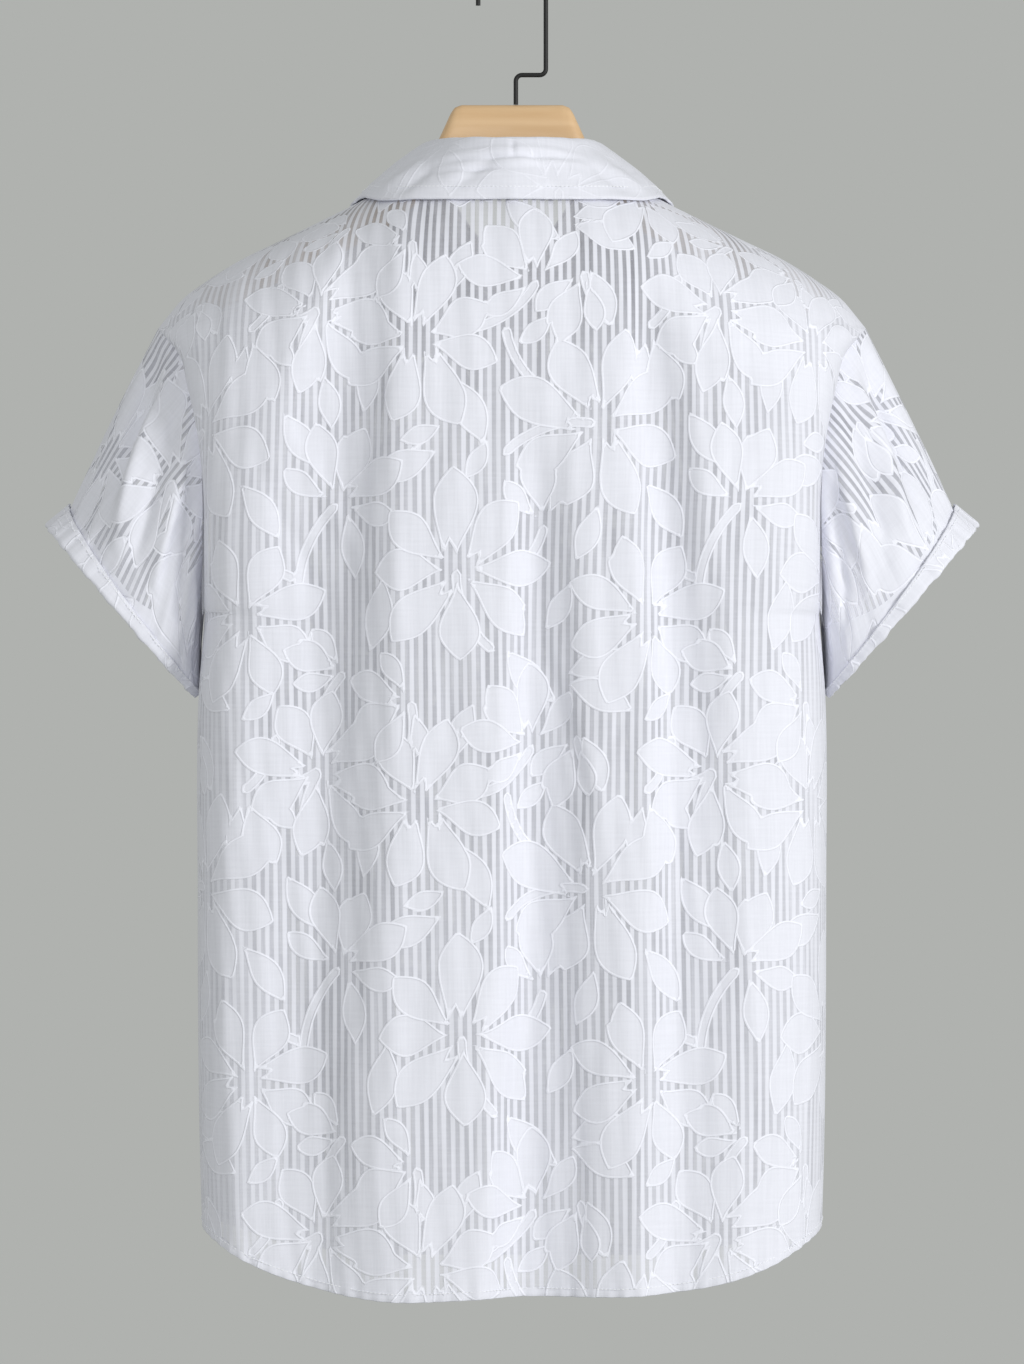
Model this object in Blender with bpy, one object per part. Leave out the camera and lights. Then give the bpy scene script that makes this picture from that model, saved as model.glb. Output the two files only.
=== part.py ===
# Short-sleeved jacquard shirt, filled out and hanging on a wooden hanger with a wire hook.
# Metres, +Z up. The shirt's front faces -Y, and the wearer's left is +X.
# The origin is the inside top of the hook, where a rail carries the hanger.

import math

import bpy
from mathutils import Vector

# Cloth and seams
CLOTH = 0.0015
COLLAR_CLOTH = 0.0018
STRAIGHT_SEAM = 0.0002
RIDGE_SEAM = 0.0006
CORNER_SEAM = 0.0009
STAND_SEAM = 0.0014
FALL_SEAM = 0.0009
SLEEVE_SEAM = 0.0013

# Body: half widths, depths and heights
NECK_HALF = 0.063
TIP_X = 0.230
TIP_Z = -0.237
UNDERARM_Z = -0.423
SIDE_HEM_Z = -0.826
BACK_HEM_Z = -0.858
FRONT_HEM_Z = -0.847
HEM_POWER = 2.4
BODY_DEPTH = 0.104
BODY_POWER = 3.6
BACK_FALL = 0.090
FRONT_FALL = 0.200
ARMHOLE_DEPTH = 0.052
ARMHOLE_BLEND = 1.5
RIDGE_ROUND = 0.004
FOLD_SIDE_START = 0.84
FOLD_SIDE_END = 0.97
FOLD_TOP_FADE = 0.05

# Neck seam and the top of the stand
BACK_NECK_Z = -0.148
SIDE_NECK_Z = -0.1375
FRONT_NECK_Z = -0.215
STAND_HALF = 0.055
STAND_MIDDLE_Y = -0.014
STAND_HALF_DEPTH = 0.072
BACK_STAND_Z = -0.1215
SIDE_STAND_Z = -0.1190
FRONT_STAND_Z = -0.187

# Button front
LAP = 0.015
LAP_RISE = 0.00115
LAP_FADE_START = 0.020
LAP_FADE_END = 0.045
BUTTON_RADIUS = 0.0055
BUTTON_FACE = 0.0048
BUTTON_SIDES = 16
BUTTON_HEIGHT = 0.0022
BUTTON_GAP = 0.0003
STAND_BUTTON_Z = -0.201
FIRST_BUTTON_Z = -0.247
BUTTON_STEP = 0.087
FRONT_BUTTONS = 6

# Collar fall
FALL_START_X = 0.008
FOLD_RISE = 0.0030
FOLD_TOP = 0.0036
FOLD_OUT = 0.0042
FALL_REST_BACK = 0.0038
FALL_REST_FRONT = 0.0046
FALL_HOLLOW = 0.004
SHOULDER_SHARE = 0.5

# Sleeves: the line of the turned-up end, seen from behind
SLEEVE_END_TOP = (0.302, -0.3665)
SLEEVE_END_BOTTOM = (0.2115, -0.4765)
SLEEVE_END_DEPTH = 0.050
SLEEVE_SWELL = 0.007
UNDERARM_SWELL = 0.0038
UNDERARM_START = 0.0021
TURN_RADIUS = 0.0019
TURN_LIFT = 0.0040
TURN_START = 0.0024

# Hanger and hook
HANGER_POWER = 2.1
HANGER_CLEAR = 0.0007
WIRE_RADIUS = 0.0015
HOOK_RADIUS = 0.0220
HOOK_JOG_Z = -0.0722
HOOK_STEM_X = -0.0025
HOOK_TIP_Z = -0.0270
WOOD_TOP_Z = -0.0917
HOOK_FILLET = 0.0040

# Columns: x, z of the shoulder ridge
SHOULDER_LINE = (
    (0.000, -0.1280),
    (0.063, -0.1375),
    (0.107, -0.1590),
    (0.149, -0.1795),
    (0.176, -0.1925),
    (0.197, -0.2055),
    (0.2145, -0.2185),
    (0.2235, -0.2290),
    (0.230, -0.2370),
)

# Columns: z, half width at the armhole and below it at the side seam
SIDE_LINE = (
    (-0.826, 0.2005),
    (-0.750, 0.2025),
    (-0.600, 0.2035),
    (-0.478, 0.2030),
    (-0.423, 0.1990),
    (-0.380, 0.1980),
    (-0.340, 0.1985),
    (-0.300, 0.2035),
    (-0.276, 0.2090),
    (-0.256, 0.2145),
    (-0.237, 0.2300),
)

# Folds of the cloth, each a soft trough that runs down the panel.
# Columns: z, x of its bottom, reach towards +X, reach towards -X, depth
BACK_FOLDS = (
    (
        (-0.155, 0.098, 0.026, 0.026, 0.000),
        (-0.220, 0.100, 0.026, 0.028, 0.008),
        (-0.300, 0.108, 0.028, 0.032, 0.013),
        (-0.420, 0.118, 0.030, 0.036, 0.015),
        (-0.600, 0.125, 0.030, 0.040, 0.015),
        (-0.720, 0.132, 0.030, 0.048, 0.011),
        (-0.860, 0.132, 0.034, 0.062, 0.012),
    ),
    (
        (-0.290, -0.011, 0.018, 0.026, 0.000),
        (-0.360, -0.013, 0.020, 0.032, 0.008),
        (-0.480, -0.014, 0.024, 0.042, 0.014),
        (-0.600, -0.013, 0.026, 0.054, 0.017),
        (-0.740, -0.011, 0.030, 0.066, 0.019),
        (-0.860, -0.009, 0.032, 0.074, 0.021),
    ),
    (
        (-0.190, -0.088, 0.020, 0.020, 0.000),
        (-0.260, -0.090, 0.022, 0.024, 0.007),
        (-0.370, -0.097, 0.024, 0.034, 0.012),
        (-0.430, -0.102, 0.024, 0.042, 0.013),
        (-0.500, -0.106, 0.024, 0.048, 0.013),
        (-0.600, -0.108, 0.024, 0.050, 0.012),
        (-0.740, -0.106, 0.024, 0.050, 0.010),
        (-0.860, -0.104, 0.026, 0.052, 0.010),
    ),
)

FRONT_FOLDS = (
    (
        (-0.230, 0.070, 0.022, 0.022, 0.000),
        (-0.340, 0.078, 0.024, 0.026, 0.010),
        (-0.520, 0.088, 0.028, 0.030, 0.014),
        (-0.700, 0.094, 0.032, 0.036, 0.015),
        (-0.860, 0.098, 0.036, 0.042, 0.016),
    ),
    (
        (-0.360, 0.150, 0.018, 0.022, 0.000),
        (-0.500, 0.146, 0.020, 0.026, 0.008),
        (-0.650, 0.150, 0.024, 0.028, 0.010),
        (-0.860, 0.152, 0.026, 0.028, 0.009),
    ),
    (
        (-0.250, -0.066, 0.022, 0.022, 0.000),
        (-0.380, -0.072, 0.026, 0.024, 0.009),
        (-0.560, -0.084, 0.030, 0.028, 0.013),
        (-0.720, -0.086, 0.034, 0.030, 0.014),
        (-0.860, -0.092, 0.040, 0.034, 0.017),
    ),
    (
        (-0.420, -0.146, 0.022, 0.018, 0.000),
        (-0.580, -0.150, 0.024, 0.020, 0.008),
        (-0.740, -0.146, 0.026, 0.024, 0.010),
        (-0.860, -0.148, 0.028, 0.024, 0.010),
    ),
)

# Folds of a sleeve, along it. Columns: turn round the sleeve from its top in degrees, reach, depth
SLEEVE_FOLDS = (
    (38.0, 22.0, 0.0055),
    (100.0, 26.0, 0.0050),
    (238.0, 24.0, 0.0050),
    (312.0, 22.0, 0.0050),
)

# Width of the turned-up end round the sleeve. Columns: turn from the top in degrees, width
TURN_WIDTH = (
    (0.0, 0.0215),
    (45.0, 0.0150),
    (90.0, 0.0095),
    (135.0, 0.0065),
    (180.0, 0.0060),
)

# Lower edge of the collar fall, from the middle of the back to its point at the front.
# It lies on the back up to half way, on the shoulder there, and then on the front.
# Columns: share of the way, x, z
FALL_EDGE = (
    (0.00, 0.000, -0.1600),
    (0.14, 0.030, -0.1600),
    (0.28, 0.060, -0.1595),
    (0.40, 0.084, -0.1590),
    (0.50, 0.1020, -0.1563),
    (0.60, 0.1050, -0.1760),
    (0.74, 0.0990, -0.2040),
    (0.88, 0.0810, -0.2330),
    (1.00, 0.0590, -0.2520),
)

# Hanger. Columns: x, top, bottom, half thickness
HANGER_SECTIONS = (
    (0.0000, -0.0917, -0.1390, 0.0080),
    (0.0330, -0.0917, -0.1420, 0.0080),
    (0.0375, -0.0935, -0.1430, 0.0080),
    (0.0400, -0.0975, -0.1435, 0.0080),
    (0.0485, -0.1160, -0.1465, 0.0080),
    (0.0555, -0.1310, -0.1500, 0.0082),
    (0.0620, -0.1395, -0.1560, 0.0085),
    (0.0800, None, -0.1715, 0.0095),
    (0.1050, None, -0.1850, 0.0110),
    (0.1300, None, -0.1970, 0.0125),
    (0.1550, None, -0.2090, 0.0140),
    (0.1750, None, -0.2180, 0.0145),
    (0.1900, None, -0.2250, 0.0140),
    (0.2000, None, -0.2285, 0.0120),
    (0.2060, -0.2165, -0.2275, 0.0070),
)
HANGER_SIDES = 12

# Grid of the panels
NECK_COLUMNS = 5
FLAT_COLUMNS = 11
FLAT_END = 0.86
ROUND_COLUMNS = (0.91, 0.95, 0.98, 0.995, 1.0)
LOW_ROWS = 10
HIGH_ROWS = 10
RIDGE_CROWDING = 2.2
SLEEVE_COLUMNS = 26
SLEEVE_ROWS = 5
COLLAR_COLUMNS = 18
FALL_ROWS = 4


def clear_scene():
    for item in list(bpy.data.objects):
        bpy.data.objects.remove(item, do_unlink=True)


def finish(name, colour, roughness, metallic=0.0):
    """A plain material in the part's own colour."""
    material = bpy.data.materials.new(name)
    material.use_nodes = True
    shader = material.node_tree.nodes["Principled BSDF"]
    shader.inputs["Base Color"].default_value = (*colour, 1.0)
    shader.inputs["Roughness"].default_value = roughness
    shader.inputs["Metallic"].default_value = metallic
    material.diffuse_color = (*colour, 1.0)
    return material


def clamp(value):
    return min(1.0, max(0.0, value))


def ease(value, low, high):
    """0 below low, 1 above high, and a smooth step between them."""
    share = clamp((value - low) / (high - low))
    return share * share * (3.0 - 2.0 * share)


def follow(table, at, column=1):
    """Read a column of a table at a place between its rows, on a smooth curve."""
    last = len(table) - 1
    if at <= table[0][0]:
        return table[0][column]
    if at >= table[last][0]:
        return table[last][column]
    slopes = [
        (table[i + 1][column] - table[i][column]) / (table[i + 1][0] - table[i][0])
        for i in range(last)
    ]
    low = max(i for i in range(last) if table[i][0] <= at)
    width = table[low + 1][0] - table[low][0]
    before = slopes[low] if low == 0 else (slopes[low - 1] + slopes[low]) / 2
    after = slopes[low] if low == last - 1 else (slopes[low] + slopes[low + 1]) / 2
    t = (at - table[low][0]) / width
    start, end = table[low][column], table[low + 1][column]
    return (
        (2 * t**3 - 3 * t**2 + 1) * start
        + (t**3 - 2 * t**2 + t) * width * before
        + (3 * t**2 - 2 * t**3) * end
        + (t**3 - t**2) * width * after
    )


def ridge_z(x):
    return follow(SHOULDER_LINE, abs(x))


def side_x(z):
    return follow(SIDE_LINE, z)


def armhole_y(z):
    share = clamp((TIP_Z - z) / (TIP_Z - UNDERARM_Z))
    return ARMHOLE_DEPTH * math.sqrt(4.0 * share * (1.0 - share))


def fold_depth(folds, x, z):
    """How far the folds draw the cloth in at a place on a panel."""
    depth = 0.0
    for fold in folds:
        rows = fold[::-1]
        bottom = follow(rows, z, 1)
        reach = follow(rows, z, 2 if x > bottom else 3)
        share = abs(x - bottom) / reach
        if share < 1.0:
            depth += follow(rows, z, 4) * math.cos(share * math.pi / 2) ** 2
    return depth


def panel_y(front, x, z):
    """Distance of the back or the front from the plane of the shoulders."""
    fall = FRONT_FALL if front else BACK_FALL
    below = max(0.0, ridge_z(x) - z)
    share = clamp(below / fall)
    swell = math.sqrt(1.0 - (1.0 - share) ** 2)
    across = clamp(abs(x) / side_x(z))
    section = (1.0 - across**BODY_POWER) ** (1.0 / BODY_POWER)
    y = BODY_DEPTH * swell * section
    y += armhole_y(z) * (1.0 - section) ** ARMHOLE_BLEND * swell_edge(below)
    folds = fold_depth(FRONT_FOLDS if front else BACK_FOLDS, x, z)
    folds *= 1.0 - ease(across, FOLD_SIDE_START, FOLD_SIDE_END)
    return y - folds * ease(below, 0.0, FOLD_TOP_FADE)


def swell_edge(below):
    """Brings the armhole's depth in from nothing at the shoulder ridge."""
    return math.sqrt(clamp(below / RIDGE_ROUND))


def panel_point(front, x, z):
    y = panel_y(front, x, z)
    return Vector((x, -y if front else y, z))


def panel_normal(front, x, z):
    """Outward direction of a panel, by small steps over it."""
    step = 0.002
    along = panel_point(front, x + step, z) - panel_point(front, x - step, z)
    up = panel_point(front, x, z + step) - panel_point(front, x, z - step)
    normal = along.cross(up).normalized()
    outward = -1.0 if front else 1.0
    return normal if normal.y * outward > 0 else -normal


def hem_z(front, x):
    middle = FRONT_HEM_Z if front else BACK_HEM_Z
    share = clamp(abs(x) / side_x(SIDE_HEM_Z))
    return middle + (SIDE_HEM_Z - middle) * share**HEM_POWER


def neck_point(front, turn):
    """Neck seam. turn is 0 at the middle of the back and 180 degrees at the middle of the front."""
    x = NECK_HALF * math.sin(turn)
    if front:
        z = SIDE_NECK_Z + (FRONT_NECK_Z - SIDE_NECK_Z) * math.cos(turn) ** 2
    else:
        z = BACK_NECK_Z + (SIDE_NECK_Z - BACK_NECK_Z) * math.sin(turn) ** 2
    return panel_point(front, x, z)


def top_z(front, x):
    """Upper border of a panel: the neck seam, and then the shoulder ridge."""
    if abs(x) >= NECK_HALF:
        return ridge_z(x)
    turn = math.asin(abs(x) / NECK_HALF)
    return neck_point(front, math.pi - turn if front else turn).z


def half_columns():
    """Places across half a panel, as shares of its half width."""
    neck = NECK_HALF / TIP_X
    columns = [neck * i / NECK_COLUMNS for i in range(NECK_COLUMNS)]
    columns += [neck + (FLAT_END - neck) * i / FLAT_COLUMNS for i in range(FLAT_COLUMNS + 1)]
    return columns + list(ROUND_COLUMNS)


def lap_shift(own_x, over):
    """Sets the lapping edge of one front out over the other, which is set in."""
    share = 1.0 - ease(own_x, LAP_FADE_START, LAP_FADE_END)
    return Vector((0.0, -LAP_RISE if over else LAP_RISE, 0.0)) * share


def panel_rows(front, columns, sign=1.0):
    """Grid of a panel from the hem up. Each column keeps its share of the half width."""
    rows = []
    for i in range(LOW_ROWS + HIGH_ROWS + 1):
        high = i > LOW_ROWS
        share = (i - LOW_ROWS) / HIGH_ROWS if high else i / LOW_ROWS
        if high:
            share = 1.0 - (1.0 - share) ** RIDGE_CROWDING
        row = []
        for column in columns:
            across = column * sign
            if high:
                z_edge = UNDERARM_Z + (TIP_Z - UNDERARM_Z) * share
                x = across * side_x(z_edge)
                z = UNDERARM_Z + (top_z(front, across * TIP_X) - UNDERARM_Z) * share
            else:
                z_edge = SIDE_HEM_Z + (UNDERARM_Z - SIDE_HEM_Z) * share
                x = across * side_x(z_edge)
                low = hem_z(front, across * side_x(SIDE_HEM_Z))
                z = low + (UNDERARM_Z - low) * share
            row.append(panel_point(front, x, z))
        rows.append(row)
    return rows


def border_pairs(rows, border):
    """Row and column of each point on a border of a grid, with the point inside it."""
    last = len(rows) - 1
    end = len(rows[0]) - 1
    if border == "first row":
        return [((0, c), (1, c)) for c in range(end + 1)]
    if border == "last row":
        return [((last, c), (last - 1, c)) for c in range(end + 1)]
    if border == "first column":
        return [((r, 0), (r, 1)) for r in range(last + 1)]
    return [((r, end), (r, end - 1)) for r in range(last + 1)]


def draw_in(rows, border, amount):
    """Move a border of a grid in over its surface, which leaves its share of a seam."""
    for (r, c), (inner_r, inner_c) in border_pairs(rows, border):
        inward = (rows[inner_r][inner_c] - rows[r][c]).normalized()
        share = amount(rows[r][c]) if callable(amount) else amount
        rows[r][c] = rows[r][c] + inward * share


def top_seam(point):
    """Share of the seam at a panel's top: wider at the neck, where the stand stands on it."""
    return CORNER_SEAM if abs(point.x) < NECK_HALF + 0.0005 else RIDGE_SEAM


def side_seam(point):
    """Share of the seam at a panel's side: wider at the armhole, where the sleeve turns away."""
    return CORNER_SEAM if point.z > UNDERARM_Z - 0.001 else STRAIGHT_SEAM


def wall(name, rows, material, thickness=CLOTH, tube=False):
    """A cloth wall over a grid of points, closed round its borders."""
    across = len(rows[0])
    faces = []
    for r in range(len(rows) - 1):
        for c in range(across if tube else across - 1):
            a = r * across + c
            b = r * across + (c + 1) % across
            faces.append((a, b, b + across))
            faces.append((a, b + across, a + across))
    mesh = bpy.data.meshes.new(name)
    mesh.from_pydata([tuple(p) for row in rows for p in row], [], faces)
    mesh.materials.append(material)
    mesh.shade_smooth()
    piece = bpy.data.objects.new(name, mesh)
    bpy.context.collection.objects.link(piece)
    solid = piece.modifiers.new("Cloth", "SOLIDIFY")
    solid.thickness = thickness
    solid.offset = 0.0
    solid.use_quality_normals = True
    return piece


def make_back(cloth):
    half = half_columns()
    columns = [-c for c in half[:0:-1]] + half
    rows = panel_rows(False, columns)
    draw_in(rows, "last row", top_seam)
    draw_in(rows, "first column", side_seam)
    draw_in(rows, "last column", side_seam)
    return wall("back", rows, cloth)


def make_front(name, sign, over, cloth):
    """One front, from its lapping edge past the middle to its side seam."""
    columns = [-LAP / TIP_X] + half_columns()
    rows = panel_rows(True, columns, sign)
    for row in rows:
        row[0] = panel_point(True, -LAP * sign, row[0].z)
    for r, row in enumerate(rows):
        rows[r] = [p + lap_shift(p.x * sign, over) for p in row]
    draw_in(rows, "last row", top_seam)
    draw_in(rows, "last column", side_seam)
    return wall(name, rows if sign < 0 else [row[::-1] for row in rows], cloth)


def armhole_point(sign, turn):
    """Seam of the sleeve. turn is 0 at the shoulder tip, 90 degrees at the back, 180 underneath."""
    z = TIP_Z + (UNDERARM_Z - TIP_Z) * (1.0 - math.cos(turn)) / 2
    y = ARMHOLE_DEPTH * math.sin(turn)
    return Vector((sign * side_x(z), y, z))


def sleeve_end(sign, turn):
    """Fold line of the turned-up end."""
    top = Vector((SLEEVE_END_TOP[0], 0.0, SLEEVE_END_TOP[1]))
    bottom = Vector((SLEEVE_END_BOTTOM[0], 0.0, SLEEVE_END_BOTTOM[1]))
    point = (top + bottom) / 2 + (top - bottom) / 2 * math.cos(turn)
    point.y = SLEEVE_END_DEPTH * math.sin(turn)
    point.x *= sign
    return point


def sleeve_axis(sign):
    """Direction down the sleeve, square to its end."""
    across = Vector((SLEEVE_END_TOP[0] - SLEEVE_END_BOTTOM[0], 0.0, SLEEVE_END_TOP[1] - SLEEVE_END_BOTTOM[1]))
    return Vector((across.z * sign, 0.0, -across.x)).normalized()


def sleeve_out(sign, turn):
    """Direction out of the sleeve at its end."""
    axis = sleeve_axis(sign)
    upward = Vector((-axis.z * sign, 0.0, axis.x * sign)) * math.cos(turn)
    return (upward + Vector((0.0, math.sin(turn), 0.0))).normalized()


def turn_width(turn):
    degrees = math.degrees(turn) % 360.0
    return follow(TURN_WIDTH, min(degrees, 360.0 - degrees))


def sleeve_fold(turn):
    degrees = math.degrees(turn) % 360.0
    depth = 0.0
    for middle, reach, deep in SLEEVE_FOLDS:
        share = abs(degrees - middle) / reach
        if share < 1.0:
            depth += deep * math.cos(share * math.pi / 2) ** 2
    return depth


def sleeve_column(sign, turn):
    """Points of a sleeve from the armhole down, round the fold and up to the turned-up edge."""
    axis = sleeve_axis(sign)
    out = sleeve_out(sign, turn)
    start = armhole_point(sign, turn)
    end = sleeve_end(sign, turn)
    width = turn_width(turn)
    notch = end - axis * width
    swell = SLEEVE_SWELL * abs(math.sin(turn))
    clear = Vector((sign * UNDERARM_SWELL * max(0.0, -math.cos(turn)) ** 0.6, 0.0, 0.0))
    start += clear * (UNDERARM_START / UNDERARM_SWELL)
    start += (notch - start).normalized() * SLEEVE_SEAM
    column = []
    for i in range(SLEEVE_ROWS + 1):
        t = i / SLEEVE_ROWS
        bulge = out * (swell - sleeve_fold(turn)) + clear
        column.append(start.lerp(notch, t) + bulge * 4.0 * t * (1.0 - t))
    column.append(end - axis * TURN_START)
    column.append(end + out * TURN_RADIUS)
    column.append(end + out * 2 * TURN_RADIUS - axis * TURN_START)
    column.append(notch + out * TURN_LIFT + axis * TURN_START / 6)
    return column


def make_sleeve(name, sign, cloth):
    turns = [2.0 * math.pi * i / SLEEVE_COLUMNS for i in range(SLEEVE_COLUMNS)]
    columns = [sleeve_column(sign, turn) for turn in turns]
    rows = [list(row) for row in zip(*columns)]
    return wall(name, rows if sign < 0 else [row[::-1] for row in rows], cloth, tube=True)


def neck_ring(turn):
    """Neck seam all round. turn runs from the middle of the back, towards +X when positive."""
    size = abs(turn)
    return neck_point(size > math.pi / 2, turn)


def stand_top(turn):
    """Upper edge of the stand."""
    x = STAND_HALF * math.sin(turn)
    y = STAND_MIDDLE_Y + STAND_HALF_DEPTH * math.cos(turn)
    if abs(turn) < math.pi / 2:
        z = BACK_STAND_Z + (SIDE_STAND_Z - BACK_STAND_Z) * math.sin(turn) ** 2
    else:
        z = SIDE_STAND_Z + (FRONT_STAND_Z - SIDE_STAND_Z) * math.cos(turn) ** 2
    return Vector((x, y, z))


def ring_out(turn):
    """Level direction out of the neck."""
    return Vector((math.sin(turn) / STAND_HALF, math.cos(turn) / STAND_HALF_DEPTH, 0.0)).normalized()


def stand_lap(turn):
    """Shift of the stand's ends, which lap as the fronts do."""
    if abs(turn) < math.pi / 2:
        return Vector((0.0, 0.0, 0.0))
    over = turn > 0
    own_x = NECK_HALF * math.sin(turn) * (1.0 if over else -1.0)
    return lap_shift(own_x, over)


def make_stand(cloth):
    reach = math.pi + math.asin(LAP / NECK_HALF)
    turns = [reach * i / COLLAR_COLUMNS for i in range(-COLLAR_COLUMNS, COLLAR_COLUMNS + 1)]
    rows = []
    for share in (0.0, 0.5, 1.0):
        rows.append([neck_ring(t).lerp(stand_top(t), share) + stand_lap(t) for t in turns])
    draw_in(rows, "first row", STAND_SEAM)
    return wall("collar_stand", [row[::-1] for row in rows], cloth, COLLAR_CLOTH)


def fall_edge(share, sign):
    """Lower edge of the fall, which rests on the back, the shoulder and the front."""
    x = follow(FALL_EDGE, share, 1)
    z = follow(FALL_EDGE, share, 2)
    on_back = share < SHOULDER_SHARE
    if abs(share - SHOULDER_SHARE) < 0.01:
        return Vector((x * sign, 0.0, max(z, ridge_z(x) + FALL_REST_BACK)))
    rest = FALL_REST_BACK if on_back else FALL_REST_FRONT
    z = min(z, ridge_z(x) - 0.0001)
    point = panel_point(not on_back, x * sign, z)
    return point + panel_normal(not on_back, x * sign, z) * rest


def lie_over(point, front):
    """Lift a point of the fall off the panel under it, where it would sink in."""
    if point.z >= ridge_z(point.x):
        return point
    rest = FALL_REST_FRONT if front else FALL_REST_BACK
    surface = panel_point(front, point.x, point.z)
    normal = panel_normal(front, point.x, point.z)
    height = (point - surface).dot(normal)
    return point + normal * max(0.0, rest - height)


def fall_column(share, sign):
    """Points of the fall from the stand's edge, over its fold and down to the lower edge."""
    last = math.pi - math.asin(FALL_START_X / STAND_HALF)
    turn = share * last * sign
    up = (stand_top(turn) - neck_ring(turn)).normalized()
    out = ring_out(turn)
    start = stand_top(turn) + stand_lap(turn)
    fold = start + out * FOLD_OUT + up * FOLD_RISE
    edge = fall_edge(share, sign)
    column = [
        start + up * FALL_SEAM,
        start + up * FOLD_TOP + out * FOLD_OUT / 3.5,
    ]
    for i in range(FALL_ROWS + 1):
        t = i / FALL_ROWS
        hollow = out * (FALL_HOLLOW * math.sin(math.pi * t))
        column.append(lie_over(fold.lerp(edge, t) + hollow, share > SHOULDER_SHARE))
    return column


def make_collar(cloth):
    shares = [i / COLLAR_COLUMNS for i in range(COLLAR_COLUMNS + 1)]
    columns = [fall_column(s, -1.0) for s in shares[:0:-1]]
    columns += [fall_column(s, 1.0) for s in shares]
    rows = [list(row) for row in zip(*columns)]
    return wall("collar", rows, cloth, COLLAR_CLOTH)


def make_button(name, centre, outward, material):
    """A turned button, widest at half its height."""
    rings = ((BUTTON_FACE, 0.0), (BUTTON_RADIUS, BUTTON_HEIGHT / 2), (BUTTON_FACE, BUTTON_HEIGHT))
    sides = BUTTON_SIDES
    turn = Vector((0.0, 0.0, 1.0)).rotation_difference(outward)
    points = []
    for radius, height in rings:
        for i in range(sides):
            angle = 2.0 * math.pi * i / sides
            local = Vector((radius * math.cos(angle), radius * math.sin(angle), height))
            points.append(tuple(centre + turn @ local))
    faces = [tuple(range(sides))[::-1], tuple(range(2 * sides, 3 * sides))]
    for r in range(2):
        for i in range(sides):
            a = r * sides + i
            b = r * sides + (i + 1) % sides
            faces.append((a, b, b + sides, a + sides))
    mesh = bpy.data.meshes.new(name)
    mesh.from_pydata(points, [], faces)
    mesh.materials.append(material)
    piece = bpy.data.objects.new(name, mesh)
    bpy.context.collection.objects.link(piece)
    return piece


def make_buttons(material):
    """One button on the stand, and the rest down the front that lies over."""
    seat = LAP_RISE + BUTTON_GAP
    low = neck_ring(math.pi)
    high = stand_top(math.pi)
    share = (STAND_BUTTON_Z - low.z) / (high.z - low.z)
    slope = (high - low).normalized()
    outward = Vector((0.0, slope.z * -1.0, slope.y)).normalized()
    middle = low.lerp(high, share) + Vector((0.0, -seat - COLLAR_CLOTH / 2, 0.0))
    make_button("button_1", middle, outward, material)
    for i in range(FRONT_BUTTONS):
        z = FIRST_BUTTON_Z - BUTTON_STEP * i
        outward = panel_normal(True, 0.0, z)
        middle = panel_point(True, 0.0, z) + Vector((0.0, -seat - CLOTH / 2, 0.0))
        make_button(f"button_{i + 2}", middle, outward, material)


def hanger_section(x, top, bottom, half_thickness):
    middle = (top + bottom) / 2
    half_height = (top - bottom) / 2
    ring = []
    for i in range(HANGER_SIDES):
        angle = 2.0 * math.pi * i / HANGER_SIDES
        c, s = math.cos(angle), math.sin(angle)
        y = half_thickness * math.copysign(abs(c) ** (2 / HANGER_POWER), c)
        z = middle + half_height * math.copysign(abs(s) ** (2 / HANGER_POWER), s)
        ring.append(Vector((x, y, z)))
    return ring


def make_hanger(material):
    """Neck and both arms in one piece of wood, whose arms carry the shoulders."""
    sections = []
    for x, top, bottom, half_thickness in HANGER_SECTIONS:
        if top is None:
            top = ridge_z(x) - CLOTH / 2 - HANGER_CLEAR
        sections.append((x, top, bottom, half_thickness))
    sections = [(-x, t, b, h) for x, t, b, h in sections[:0:-1]] + sections
    rings = [hanger_section(*section) for section in sections]
    points = [tuple(p) for ring in rings for p in ring]
    faces = [tuple(range(HANGER_SIDES))[::-1]]
    for r in range(len(rings) - 1):
        for i in range(HANGER_SIDES):
            a = r * HANGER_SIDES + i
            b = r * HANGER_SIDES + (i + 1) % HANGER_SIDES
            faces.append((a, b, b + HANGER_SIDES, a + HANGER_SIDES))
    first = (len(rings) - 1) * HANGER_SIDES
    faces.append(tuple(range(first, first + HANGER_SIDES)))
    mesh = bpy.data.meshes.new("hanger")
    mesh.from_pydata(points, [], faces)
    mesh.materials.append(material)
    mesh.shade_smooth()
    piece = bpy.data.objects.new("hanger", mesh)
    bpy.context.collection.objects.link(piece)
    return piece


def arc(centre_x, centre_z, radius, start, end, steps):
    """Points along an arc in the plane of the hanger, with its angles in degrees."""
    points = []
    for i in range(steps + 1):
        angle = math.radians(start + (end - start) * i / steps)
        points.append((centre_x + radius * math.cos(angle), 0.0, centre_z + radius * math.sin(angle)))
    return points


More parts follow.
